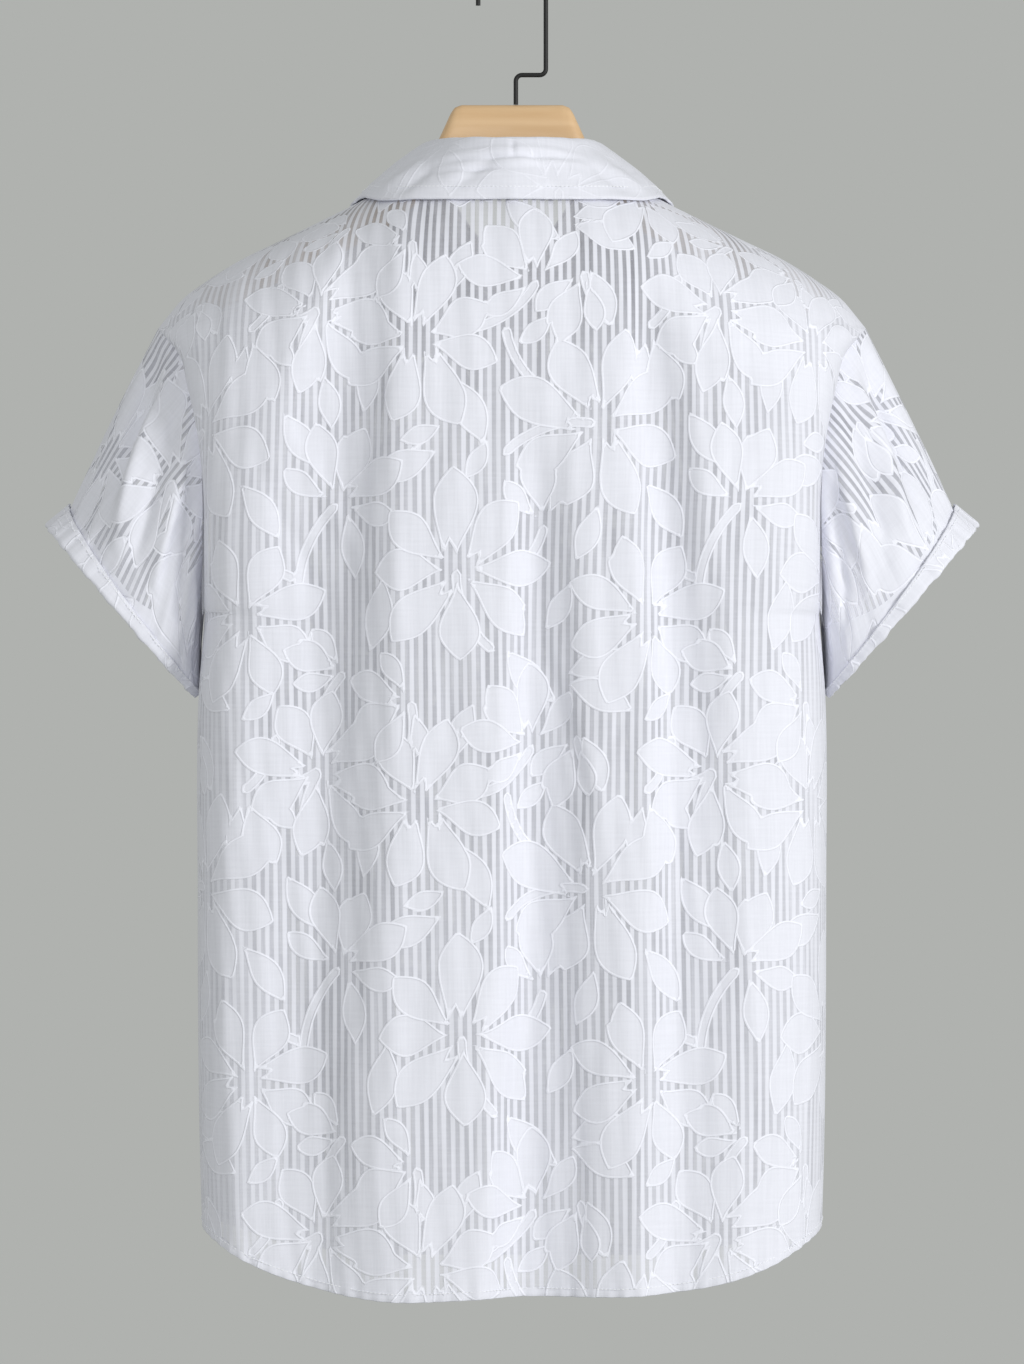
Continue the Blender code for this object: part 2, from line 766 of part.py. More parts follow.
def make_hook(material):
    """Bent wire: a stem, a jog to one side, and the hook over the rail."""
    top_z = WIRE_RADIUS - HOOK_RADIUS
    side = -HOOK_RADIUS
    path = [(HOOK_STEM_X, 0.0, WOOD_TOP_Z + BUTTON_GAP)]
    path += arc(HOOK_STEM_X - HOOK_FILLET, HOOK_JOG_Z - HOOK_FILLET, HOOK_FILLET, 0, 90, 5)
    path += arc(side + HOOK_FILLET, HOOK_JOG_Z + HOOK_FILLET, HOOK_FILLET, 270, 180, 5)
    path += arc(0.0, top_z, HOOK_RADIUS, 180, 0, 20)
    path.append((HOOK_RADIUS, 0.0, HOOK_TIP_Z))
    curve = bpy.data.curves.new("hook", "CURVE")
    curve.dimensions = "3D"
    spline = curve.splines.new("POLY")
    spline.points.add(len(path) - 1)
    for point, place in zip(spline.points, path):
        point.co = (*place, 1.0)
    curve.bevel_depth = WIRE_RADIUS
    curve.bevel_resolution = 2
    curve.use_fill_caps = True
    curve.materials.append(material)
    piece = bpy.data.objects.new("hook", curve)
    bpy.context.collection.objects.link(piece)
    return piece


def build():
    clear_scene()
    cloth = finish("white_jacquard", (0.80, 0.82, 0.86), 0.75)
    plain = finish("white_collar_cloth", (0.82, 0.84, 0.87), 0.70)
    shell = finish("white_button", (0.84, 0.84, 0.82), 0.30)
    wood = finish("light_wood", (0.62, 0.43, 0.23), 0.50)
    wire = finish("black_wire", (0.02, 0.02, 0.02), 0.40, 1.0)
    make_back(cloth)
    make_front("front_left", 1.0, True, cloth)
    make_front("front_right", -1.0, False, cloth)
    make_sleeve("sleeve_left", 1.0, cloth)
    make_sleeve("sleeve_right", -1.0, cloth)
    make_stand(plain)
    make_collar(plain)
    make_buttons(shell)
    make_hanger(wood)
    make_hook(wire)


build()
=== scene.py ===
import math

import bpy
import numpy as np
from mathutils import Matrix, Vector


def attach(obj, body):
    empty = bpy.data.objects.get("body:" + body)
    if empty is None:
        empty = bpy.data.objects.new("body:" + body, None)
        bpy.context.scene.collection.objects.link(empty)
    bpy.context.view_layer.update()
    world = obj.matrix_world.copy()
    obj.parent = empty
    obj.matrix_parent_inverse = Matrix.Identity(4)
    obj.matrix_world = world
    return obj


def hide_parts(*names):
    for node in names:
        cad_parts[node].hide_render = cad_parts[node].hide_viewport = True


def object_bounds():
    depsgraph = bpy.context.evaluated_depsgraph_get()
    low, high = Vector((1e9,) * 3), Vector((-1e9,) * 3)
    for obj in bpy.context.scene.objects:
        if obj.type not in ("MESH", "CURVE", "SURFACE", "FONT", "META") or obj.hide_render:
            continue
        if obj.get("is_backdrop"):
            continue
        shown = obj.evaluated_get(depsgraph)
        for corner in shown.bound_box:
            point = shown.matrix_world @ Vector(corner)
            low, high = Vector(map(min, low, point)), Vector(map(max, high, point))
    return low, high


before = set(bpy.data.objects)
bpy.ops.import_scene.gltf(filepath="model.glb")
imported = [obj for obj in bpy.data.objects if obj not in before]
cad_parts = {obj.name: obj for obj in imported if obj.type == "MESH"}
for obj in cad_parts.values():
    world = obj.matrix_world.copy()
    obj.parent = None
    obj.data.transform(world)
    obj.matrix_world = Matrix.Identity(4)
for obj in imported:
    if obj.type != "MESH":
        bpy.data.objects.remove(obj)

# Looks of a short-sleeved jacquard shirt on a wooden hanger, laid out as a Blender add-on.
# Metres, +Z up, the shirt's front faces -Y and the photo shows its back. Each cloth piece is
# a thin sheet on the form of its solid, with its flat cut as UV coordinates in metres.

bl_info = {
    "name": "Jacquard Shirt",
    "version": (1, 0, 0),
    "blender": (4, 5, 0),
    "location": "3D View > Sidebar > Shirt",
    "description": "Builds a sheer striped jacquard shirt with flowers, on its hanger",
    "category": "Add Mesh",
}

# Body, as in the solids: half widths, depths and heights
NECK_HALF = 0.063
TIP_X = 0.230
TIP_Z = -0.237
UNDERARM_Z = -0.423
SIDE_HEM_Z = -0.826
HEM_CORNER_LIFT = 0.009
BACK_HEM_Z = -0.858
FRONT_HEM_Z = -0.847
HEM_POWER = 4.0
HEM_DIP = (0.078, 0.048, 0.0035)
BODY_DEPTH = 0.104
BODY_POWER = 3.6
BACK_FALL = 0.090
FRONT_FALL = 0.200
ARMHOLE_DEPTH = 0.052
MIDDLE_Z = -0.6
ARMHOLE_BLEND = 1.5
RIDGE_ROUND = 0.004
FOLD_SIDE_START = 0.89
FOLD_SIDE_END = 0.985
FOLD_TOP_FADE = 0.05
CLOTH = 0.0015

# Hem: radius, width and rows of its turned-under edge, height of its row of stitches in metres,
# plain width in mm, and height, pitch and reach in mm of its puckers
HEM_TURN = (0.0005, 0.0055, 2)
HEM_SEAM = 0.0048
HEM_PLAIN = 5.2
HEM_PUCKER = (0.0006, 0.0105, 7.0)
STITCH_RISE = 0.0003
STITCH_SHARE = 0.42

# Lengths that give a sheet its number of points, for the grid's step: round half a panel, up it
# below and above the underarm, the drop of its upper part, round a sleeve and down it
PANEL_ROUND = 0.245
PANEL_LOW = 0.42
PANEL_HIGH = 0.30
PANEL_DROP = 0.25
SLEEVE_ROUND = 0.40
SLEEVE_DOWN = 0.16
CURVE_STEPS = 2000
DROP_STEPS = 800

# Neck seam, stand and fall of the collar
BACK_NECK_Z = -0.148
SIDE_NECK_Z = -0.1375
FRONT_NECK_Z = -0.215
STAND_HALF = 0.055
STAND_MIDDLE_Y = -0.014
STAND_HALF_DEPTH = 0.072
BACK_STAND_Z = -0.1215
SIDE_STAND_Z = -0.1190
FRONT_STAND_Z = -0.187
FALL_START_X = 0.008
FALL_SEAM = 0.0009
FOLD_RISE = 0.0030
FOLD_TOP = 0.0036
FOLD_OUT = 0.0042
FALL_REST = {False: 0.0024, True: 0.0034}
SHOULDER_REST = 0.0016
FALL_HOLLOW = 0.003
SHOULDER_SHARE = 0.5
COLLAR_THICKNESS = 0.0014
COLLAR_COLUMNS = 130
STAND_COLUMNS = 240

# Button front
LAP = 0.015
LAP_RISE = 0.00115
LAP_FADE = (0.020, 0.045)
LAP_COLUMNS = 6
BAND_STITCH_X = 0.0128
BAND_CALM = (0.018, 0.035)
BUTTON_RADIUS = 0.0055
BUTTON_HEIGHT = 0.0022
HOLE_RADIUS = 0.00075
HOLE_SPREAD = 0.0021

# Sleeves and their turned-up ends
SLEEVE_END_TOP = (0.302, -0.3665)
SLEEVE_END_BOTTOM = (0.2065, -0.4765)
SLEEVE_END_DEPTH = 0.050
SLEEVE_SWELL = 0.007
UNDERARM_SWELL = 0.0015
UNDERARM_START = 0.0021
TURN_RADIUS = 0.0014
TURN_LIFT = 0.0022
TURN_START = 0.0024
UNDERARM_FLAT = 0.6
SLEEVE_TURN = (0.0005, 0.005, 2)
TURN_PLAIN = 0.004
TURN_PUCKER = (0.0004, 0.0085)

# Hanger and hook
HANGER_POWER = 2.1
HANGER_CLEAR = 0.0007
WIRE_RADIUS = 0.0015
HOOK_RADIUS = 0.0220
HOOK_JOG_Z = -0.0722
HOOK_STEM_X = -0.0025
HOOK_TIP_Z = -0.0270
WOOD_TOP_Z = -0.0917
HOOK_FILLET = 0.0040


def metres(*rows):
    """A table in millimetres, or a part of one, in metres."""
    return tuple(metres(*row) if isinstance(row, tuple) else row / 1000.0 for row in rows)


# The tables under metres() are in mm. Columns: x, z of the shoulder ridge
SHOULDER_LINE = metres(
    (0, -128),
    (63, -137.5),
    (107, -159),
    (149, -179.5),
    (176, -192.5),
    (197, -205.5),
    (214.5, -218.5),
    (223.5, -229),
    (230, -237),
)

# Columns: z, half width at the armhole and below it at the side seam
SIDE_LINE = metres(
    (-826, 200.5),
    (-750, 202.5),
    (-600, 203.5),
    (-478, 203),
    (-423, 199),
    (-380, 198),
    (-340, 198.5),
    (-300, 203.5),
    (-276, 209),
    (-256, 214.5),
    (-237, 230),
)

# Folds of the cloth, each a soft trough that runs down the panel.
# Columns: z, x of its bottom, reach towards +X, reach towards -X, depth
BACK_FOLDS = metres(
    (
        (-860, 132, 60, 64, 15),
        (-720, 132, 64, 56, 18),
        (-600, 125, 72, 52, 21),
        (-420, 118, 72, 48, 21),
        (-300, 108, 58, 40, 16),
        (-220, 100, 26, 28, 8),
        (-155, 98, 26, 26, 0),
    ),
    (
        (-860, -9, 32, 74, 21),
        (-740, -11, 30, 66, 19),
        (-600, -13, 26, 54, 17),
        (-480, -14, 24, 42, 14),
        (-360, -13, 20, 32, 8),
        (-290, -11, 18, 26, 0),
    ),
    (
        (-860, -104, 26, 52, 10),
        (-740, -106, 24, 50, 10),
        (-600, -108, 24, 50, 12),
        (-500, -106, 24, 48, 13),
        (-430, -102, 24, 42, 13),
        (-370, -97, 24, 34, 12),
        (-260, -90, 22, 24, 7),
        (-190, -88, 20, 20, 0),
    ),
)

FRONT_FOLDS = metres(
    (
        (-860, 98, 36, 42, 16),
        (-700, 94, 32, 36, 15),
        (-520, 88, 28, 30, 14),
        (-340, 78, 24, 26, 10),
        (-230, 70, 22, 22, 0),
    ),
    (
        (-860, 152, 26, 28, 9),
        (-650, 150, 24, 28, 10),
        (-500, 146, 20, 26, 8),
        (-360, 150, 18, 22, 0),
    ),
    (
        (-860, -92, 40, 34, 17),
        (-720, -86, 34, 30, 14),
        (-560, -84, 30, 28, 13),
        (-380, -72, 26, 24, 9),
        (-250, -66, 22, 22, 0),
    ),
    (
        (-860, -148, 28, 24, 10),
        (-740, -146, 26, 24, 10),
        (-580, -150, 24, 20, 8),
        (-420, -146, 22, 18, 0),
    ),
)

# Columns: turn round the sleeve from its top in degrees, reach, depth
SLEEVE_FOLDS = (
    (38.0, 22.0, 0.0055),
    (100.0, 26.0, 0.0050),
    (238.0, 24.0, 0.0050),
    (312.0, 22.0, 0.0050),
)

# Columns: turn from the top in degrees, width of the turned-up end
TURN_WIDTH = (
    (0.0, 0.0215),
    (45.0, 0.0150),
    (90.0, 0.0095),
    (135.0, 0.0065),
    (180.0, 0.0060),
)

# Columns: share of the way from the middle of the back to the point, x, z
FALL_EDGE = (
    (0.00, 0.000, -0.1600),
    (0.14, 0.030, -0.1600),
    (0.28, 0.060, -0.1595),
    (0.40, 0.084, -0.1590),
    (0.50, 0.1020, -0.1563),
    (0.60, 0.1050, -0.1760),
    (0.74, 0.0990, -0.2040),
    (0.88, 0.0810, -0.2330),
    (1.00, 0.0590, -0.2520),
)

# Hanger. Columns: x, top, bottom, half thickness
HANGER_SECTIONS = (
    (0.0000, -0.0917, -0.1390, 0.0080),
    (0.0330, -0.0917, -0.1420, 0.0080),
    (0.0375, -0.0935, -0.1430, 0.0080),
    (0.0400, -0.0975, -0.1435, 0.0080),
    (0.0485, -0.1160, -0.1465, 0.0080),
    (0.0555, -0.1310, -0.1500, 0.0082),
    (0.0620, -0.1395, -0.1560, 0.0085),
    (0.0800, None, -0.1715, 0.0095),
    (0.1050, None, -0.1850, 0.0110),
    (0.1300, None, -0.1970, 0.0125),
    (0.1550, None, -0.2090, 0.0140),
    (0.1750, None, -0.2180, 0.0145),
    (0.1900, None, -0.2250, 0.0140),
    (0.2000, None, -0.2285, 0.0120),
    (0.2060, -0.2165, -0.2275, 0.0070),
)

# Fine creases that stand out of the cloth or sink in.
# Columns: u and v of one end, u and v of the other on the flat cut, half width, height
BACK_CREASES = metres(
    (21, -16, 52, -120, 4.5, -1.2),
    (83, -49, 56, -118, 4, -1),
    (36, -30, 66, -130, 5, 1),
    (118, -60, 128, -230, 6, 1.2),
    (104, 10, 112, -150, 5, -1),
    (-176, 110, -120, -10, 6.5, -1.2),
    (-160, 130, -92, 20, 6.5, 1.2),
    (176, 120, 130, 0, 6.5, -1.2),
    (-52, 130, -40, -90, 6, -1),
    (-150, -100, -135, -300, 6, 1.2),
    (-70, -200, -62, -390, 6, -1.1),
    (24, -230, 30, -400, 5, 1),
    (90, -240, 96, -400, 6, -1),
    (158, -160, 166, -340, 5.5, 1),
)
FRONT_CREASES = metres(
    (60, 120, 85, -20, 6, -1.2),
    (-60, 120, -85, -20, 6, -1.2),
    (130, 60, 118, -110, 6, 1.2),
    (-130, 60, -118, -110, 6, 1.2),
    (55, -140, 62, -330, 5.5, -1),
    (-52, -170, -60, -350, 5.5, -1),
)
SLEEVE_CREASES = metres(
    (22, 4, 58, 104, 7, 4.6),
    (40, 4, 74, 108, 6, -5.6),
    (66, 8, 94, 112, 7.5, 4.8),
    (88, 14, 112, 104, 6, -5),
    (112, 20, 140, 96, 7.5, 3.4),
    (140, 22, 160, 86, 6, -1.6),
    (260, 20, 244, 90, 6.5, -1.8),
    (290, 14, 270, 104, 7.5, 2),
    (318, 8, 300, 108, 6.5, -2),
    (345, 6, 334, 108, 7, 2),
)
COLLAR_CREASES = metres(
    (-54, 34.5, 48, 37, 2, 1.6),
    (-50, 30, 40, 31, 1.8, -1.4),
    (-30, 26.5, 52, 28, 1.9, 1.4),
    (-62, 22.5, 12, 21.5, 1.8, -1.2),
    (-48, 18, -6, 18.5, 1.8, 1),
    (0, 44, 1, 30, 1.5, -1.4),
    (-38, 10, -8, 32, 5.5, -2.4),
    (36, 10, 10, 33, 5.5, -2.2),
    (-96, 8, -64, 36, 6, 2.2),
    (96, 8, 64, 36, 6, 2.2),
    (-76, 6, -52, 30, 4.5, -1.6),
    (78, 6, 54, 30, 4.5, -1.6),
    (-150, 12, -135, 48, 5, -1.4),
    (150, 12, 135, 48, 5, -1.4),
)
SLEEVE_GIRTH = 0.40
SLEEVE_LEAN = 0.20
PLAIN_ZONE = 0.024
SLEEVE_FALL = 0.13
HIGH_CLOTH = (0.11, 0.22)
HIGH_SHEER = 0.22
HIGH_REACH = (0.085, 0.125)
SIDE_CLOTH = (0.150, 0.205)
SIDE_COVER = 0.16
SLEEVE_SHEER = 0.16

# Flowers of the weave, in mm. Columns: direction in degrees, length, width, bend in degrees,
# layer, and the end at which the petal is split
OPEN_FLOWER = (
    (4, 50, 21, 18, 2, "whole"),
    (46, 46, 24, -12, 3, "base"),
    (92, 52, 26, 10, 2, "base"),
    (139, 44, 22, -16, 3, "whole"),
    (183, 41, 24, 14, 2, "tip"),
    (228, 49, 23, 12, 3, "base"),
    (271, 45, 24, -8, 2, "whole"),
    (317, 49, 21, -14, 3, "tip"),
)
CUP_FLOWER = (
    (16, 38, 16, 26, 2, "whole"),
    (55, 49, 24, 10, 3, "base"),
    (93, 46, 24, -4, 2, "tip"),
    (130, 48, 22, -12, 3, "whole"),
    (172, 36, 15, -26, 2, "whole"),
)
BUD = (
    (60, 34, 15, 22, 2, "whole"),
    (90, 42, 20, 0, 3, "tip"),
    (121, 33, 14, -22, 2, "whole"),
)
FLOWERS = {"open": OPEN_FLOWER, "cup": CUP_FLOWER, "bud": BUD}
# Columns: kind, x, y, turn in degrees, size
MOTIFS = (
    ("open", 60, 68, 0, 1.08),
    ("open", 188, 36, 152, 0.98),
    ("open", 150, 160, 68, 1.10),
    ("open", 36, 214, 205, 1.00),
    ("open", 236, 236, 300, 0.98),
    ("cup", 250, 110, -25, 0.95),
    ("cup", 112, 252, 38, 0.92),
    ("bud", 186, 222, 205, 1.00),
    ("bud", 118, 96, 12, 0.95),
    ("leaf", 4, 128, 20, 1.00),
    ("leaf", 92, 16, -42, 1.05),
    ("leaf", 212, 88, 128, 0.95),
    ("leaf", 78, 148, 118, 1.05),
    ("leaf", 214, 168, -52, 0.95),
    ("leaf", 2, 16, 78, 1.05),
    ("leaf", 178, 274, 158, 1.00),
    ("leaf", 136, 2, 24, 0.85),
    ("leaf", 268, 168, 84, 0.85),
    ("leaf", 70, 278, 250, 0.80),
    ("leaf", 160, 222, 112, 0.85),
    ("bud", 142, 258, 160, 0.95),
    ("cup", 30, 280, 108, 0.80),
    ("leaf", 262, 62, 98, 0.90),
    ("leaf", 140, 74, 70, 0.80),
    ("bud", 254, 2, 70, 0.85),
    ("leaf", 120, 30, 60, 0.75),
    ("leaf", 246, 158, 100, 0.75),
    ("leaf", 100, 212, 40, 0.60),
    ("leaf", 186, 268, 40, 0.60),
    ("leaf", 66, 126, 60, 0.60),
    ("leaf", 24, 150, 20, 0.60),
)
# Columns: x, y, direction in degrees, length, bend in degrees
STEMS = (
    (250, 110, 246, 62, 46),
    (222, 62, 168, 30, 30),
    (112, 252, 214, 56, -54),
    (92, 222, 300, 42, 44),
    (186, 222, 60, 44, 50),
    (118, 96, 238, 36, -40),
    (236, 236, 200, 34, -30),
    (60, 68, 296, 60, 58),
    (150, 160, 200, 66, 62),
    (142, 258, 300, 40, 46),
    (254, 2, 240, 34, 40),
    (30, 280, 262, 44, -40),
    (236, 236, 258, 52, 36),
)
REPEAT = np.array((272.0, 296.0))
STEM_WIDTH = 5.4
LEAF_SIZE = (46.0, 19.0, 18.0)
HEART_RADIUS = 8.5
OUTLINE_STEPS = 18
LAYERS = 5
FAR = 3.0


def linear(code):
    """Linear colour of an sRGB hex code."""
    parts = [int(code[i : i + 2], 16) / 255 for i in (1, 3, 5)]
    return (*(p / 12.92 if p <= 0.04045 else ((p + 0.055) / 1.055) ** 2.4 for p in parts), 1.0)


class ShirtSettings(bpy.types.PropertyGroup):
    """Sizes of the weave and the stitching, and colours of the finishes."""

    stripe_pitch: bpy.props.FloatProperty(
        name="Stripe pitch",
        description="Distance from one opaque stripe to the next",
        default=0.00565,
        unit="LENGTH",
    )
    stripe_share: bpy.props.FloatProperty(
        name="Stripe share",
        description="Share of the pitch that is opaque",
        default=0.5,
        subtype="FACTOR",
    )
    sheer: bpy.props.FloatProperty(
        name="Sheer",
        description="Opacity of the sheer ground between the stripes",
        default=0.63,
        subtype="FACTOR",
    )
    cord: bpy.props.FloatProperty(
        name="Cord",
        description="Half width of the cord round each petal, in millimetres",
        default=0.68,
    )
    stitch_pitch: bpy.props.FloatProperty(
        name="Stitch pitch",
        description="Distance from one stitch to the next",
        default=0.0028,
        unit="LENGTH",
    )
    stitch_radius: bpy.props.FloatProperty(
        name="Stitch radius",
        description="Radius of the sewing thread",
        default=0.00028,
        unit="LENGTH",
    )
    grid: bpy.props.FloatProperty(
        name="Grid",
        description="Distance between the points of a sheet",
        default=0.0023,
        unit="LENGTH",
    )
    cloth_colour: bpy.props.FloatVectorProperty(
        name="Cloth colour",
        description="Colour of the cloth's threads",
        size=4,
        default=linear("#F4F5FF"),
        subtype="COLOR",
    )
    button_colour: bpy.props.FloatVectorProperty(
        name="Button colour",
        description="Colour of the buttons",
        size=4,
        default=linear("#EDEEEA"),
        subtype="COLOR",
    )
    wood_dark: bpy.props.FloatVectorProperty(
        name="Dark grain",
        description="Darker colour of the hanger's grain",
        size=4,
        default=linear("#D3AE82"),
        subtype="COLOR",
    )
    wood_light: bpy.props.FloatVectorProperty(
        name="Light grain",
        description="Lighter colour of the hanger's grain",
        size=4,
        default=linear("#E0BE94"),
        subtype="COLOR",
    )
    wire_colour: bpy.props.FloatVectorProperty(
        name="Wire colour",
        description="Colour of the hook's lacquer",
        size=4,
        default=linear("#060607"),
        subtype="COLOR",
    )


# Numbers and curves


def ease(value, low, high):
    """0 below low, 1 above high, and a smooth step between them."""
    share = np.clip((value - low) / (high - low), 0.0, 1.0)
    return share * share * (3.0 - 2.0 * share)


def follow(table, at, column=1):
    """Read a column of a table at places between its rows, on a smooth curve."""
    keys = np.array([row[0] for row in table])
    values = np.array([row[column] for row in table])
    slopes = np.diff(values) / np.diff(keys)
    tangents = np.concatenate((slopes[:1], (slopes[1:] + slopes[:-1]) / 2, slopes[-1:]))
    at = np.clip(at, keys[0], keys[-1])
    low = np.clip(np.searchsorted(keys, at, side="right") - 1, 0, len(keys) - 2)
    width = keys[low + 1] - keys[low]
    t = (at - keys[low]) / width
    return (
        (2 * t**3 - 3 * t**2 + 1) * values[low]
        + (t**3 - 2 * t**2 + t) * width * tangents[low]
        + (3 * t**2 - 2 * t**3) * values[low + 1]
        + (t**3 - t**2) * width * tangents[low + 1]
    )


def unit(vectors):
    return vectors / np.maximum(np.linalg.norm(vectors, axis=-1, keepdims=True), 1e-12)


def stack(x, y, z):
    return np.stack(np.broadcast_arrays(x, y, z), axis=-1).astype(float)


def even_shares(x, y, count):
    """Places on a curve, as shares of its own steps, that are evenly far apart along it."""
    length = np.concatenate(([0.0], np.cumsum(np.hypot(np.diff(x), np.diff(y)))))
    return np.interp(np.linspace(0.0, length[-1], count), length, np.linspace(0.0, 1.0, len(x)))


def through_rows(rows, count):
    """More rows on a smooth curve through a few rows of points."""
    rows = np.array(rows)
    last = len(rows) - 1
    at = np.linspace(0.0, last, count)
    low = np.minimum(at.astype(int), last - 1)
    t = (at - low)[:, None, None]
    padded = np.concatenate((2 * rows[:1] - rows[1:2], rows, 2 * rows[-1:] - rows[-2:-1]))
    a, b, c, d = (padded[low + i] for i in range(4))
    return 0.5 * (2 * b + (c - a) * t + (2 * a - 5 * b + 4 * c - d) * t**2 + (3 * b - a - 3 * c + d) * t**3)


# Form of the shirt


def ridge_z(x):
    return follow(SHOULDER_LINE, np.abs(x))


def side_x(z):
    return follow(SIDE_LINE, z)


def armhole_y(z):
    share = np.clip((TIP_Z - z) / (TIP_Z - UNDERARM_Z), 0.0, 1.0)
    return ARMHOLE_DEPTH * np.sqrt(4.0 * share * (1.0 - share))


def fold_depth(folds, x, z):
    """How far the folds draw the cloth in at places on a panel."""
    depth = 0.0
    for rows in folds:
        bottom = follow(rows, z, 1)
        reach = np.where(x > bottom, follow(rows, z, 2), follow(rows, z, 3))
        share = np.minimum(np.abs(x - bottom) / reach, 1.0)
        depth = depth + follow(rows, z, 4) * np.cos(share * math.pi / 2) ** 2
    return depth


def panel_point(front, x, z):
    """A point of the back or the front, on the wall's middle."""
    below = np.maximum(0.0, ridge_z(x) - z)
    share = np.clip(below / (FRONT_FALL if front else BACK_FALL), 0.0, 1.0)
    swell = np.sqrt(1.0 - (1.0 - share) ** 2)
    across = np.clip(np.abs(x) / side_x(z), 0.0, 1.0)
    section = (1.0 - across**BODY_POWER) ** (1.0 / BODY_POWER)
    y = BODY_DEPTH * swell * section
    y = y + armhole_y(z) * (1.0 - section) ** ARMHOLE_BLEND * np.sqrt(np.clip(below / RIDGE_ROUND, 0.0, 1.0))
    folds = fold_depth(FRONT_FOLDS if front else BACK_FOLDS, x, z)
    folds = folds * (1.0 - ease(across, FOLD_SIDE_START, FOLD_SIDE_END))
    y = y - folds * ease(below, 0.0, FOLD_TOP_FADE)
    return stack(x, -y if front else y, z)


def panel_normal(front, x, z):
    """Outward direction of a panel, by small steps over it."""
    step = 0.002
    along = panel_point(front, x + step, z) - panel_point(front, x - step, z)
    up = panel_point(front, x, z + step) - panel_point(front, x, z - step)
    return unit(np.cross(along, up) if front else np.cross(up, along))


def hem_z(front, x):
    middle = FRONT_HEM_Z if front else BACK_HEM_Z
    share = np.clip(np.abs(x) / side_x(SIDE_HEM_Z), 0.0, 1.0)
    at, reach, deep = HEM_DIP
    dip = 0.0 if front else deep * np.exp(-(((x - at) / reach) ** 2))
    return middle + (SIDE_HEM_Z + HEM_CORNER_LIFT - middle) * share**HEM_POWER - dip


def neck_z(front, turn):
    if front:
        return SIDE_NECK_Z + (FRONT_NECK_Z - SIDE_NECK_Z) * np.cos(turn) ** 2
    return BACK_NECK_Z + (SIDE_NECK_Z - BACK_NECK_Z) * np.sin(turn) ** 2


def top_z(front, x):
    """Upper border of a panel: the neck seam, and then the shoulder ridge."""
    turn = np.arcsin(np.clip(np.abs(x) / NECK_HALF, 0.0, 1.0))
    return np.where(np.abs(x) < NECK_HALF, neck_z(front, turn), ridge_z(x))


def lap_shift(own_x, over):
    """Sets the lapping edge of one front out over the other, which is set in."""
    share = 1.0 - ease(own_x, *LAP_FADE)
    return stack(0.0, (-LAP_RISE if over else LAP_RISE) * share, 0.0)


def half_columns(step):
    """Places across half a panel, as shares of its half width, evenly far apart on its round."""
    across = np.sin(np.linspace(0.0, math.pi / 2, CURVE_STEPS))
    depth = BODY_DEPTH * (1.0 - across**BODY_POWER) ** (1.0 / BODY_POWER)
    shares = even_shares(across * side_x(MIDDLE_Z), depth, int(PANEL_ROUND / step))
    return np.interp(shares, np.linspace(0.0, 1.0, CURVE_STEPS), across)


def panel_grid(front, columns, step):
    """Points of a panel in rows from the hem up. Each column keeps its share of the half width."""
    low = np.linspace(0.0, 1.0, int(PANEL_LOW / step))[:-1, None]
    below = np.linspace(0.0, 1.0, DROP_STEPS) ** 2
    drop = below * PANEL_DROP
    rise = BODY_DEPTH * np.sqrt(1.0 - (1.0 - np.clip(drop / BACK_FALL, 0.0, 1.0)) ** 2)
    shares = even_shares(drop, rise, int(PANEL_HIGH / step))
    high = 1.0 - np.interp(shares, np.linspace(0.0, 1.0, DROP_STEPS), below)[::-1, None]
    hem = hem_z(front, columns * side_x(SIDE_HEM_Z))
    low_z = hem + (UNDERARM_Z - hem) * low
    low_x = columns * side_x(low_z)
    high_x = columns * side_x(UNDERARM_Z + (TIP_Z - UNDERARM_Z) * high)
    high_z = UNDERARM_Z + (top_z(front, columns * TIP_X) - UNDERARM_Z) * high
    x, z = np.vstack((low_x, high_x)), np.vstack((low_z, high_z))
    return panel_point(front, x, z), len(low)


def grid_normals(points):
    """Outward directions of a grid whose columns run to the right as seen from outside."""
    return unit(np.cross(np.gradient(points, axis=1), np.gradient(points, axis=0)))


def unrolled(points, middle, level):
    """Flat coordinates: the way along each row from a middle column, and up each column."""
    across = np.linalg.norm(np.diff(points, axis=1), axis=2).cumsum(1)
    across = np.concatenate((np.zeros((len(points), 1)), across), axis=1)
    up = np.linalg.norm(np.diff(points, axis=0), axis=2).cumsum(0)
    up = np.concatenate((np.zeros((1, points.shape[1])), up), axis=0)
    return np.stack((across - across[:, middle : middle + 1], up - up[level]), axis=2)


# Flowers of the weave


def outline(x, y, direction, length, width, bend, kind):
    """Closed outline of a petal, leaf or stem on a bent spine, in mm."""
    s = np.linspace(0.0, 1.0, OUTLINE_STEPS + 1)
    heading = np.radians(direction + bend * (s - 0.5))
    step = length / OUTLINE_STEPS
    spine_x = x + np.concatenate(([0.0], np.cumsum(np.cos(heading[:-1])) * step))
    spine_y = y + np.concatenate(([0.0], np.cumsum(np.sin(heading[:-1])) * step))
    if kind == "petal":
        half = np.sin(math.pi * s**1.45) ** 0.95
    elif kind == "leaf":
        half = np.sin(math.pi * s) ** 1.15 * (1.15 - 0.3 * s)
    else:
        half = np.where((s == 0.0) | (s == 1.0), 0.0, 1.0)
    half = np.maximum(half, 0.0) * width / 2 / half.max()
    left = np.stack((spine_x - np.sin(heading) * half, spine_y + np.cos(heading) * half), axis=1)
    right = np.stack((spine_x + np.sin(heading) * half, spine_y - np.cos(heading) * half), axis=1)
    return np.concatenate((left, right[-2:0:-1]))


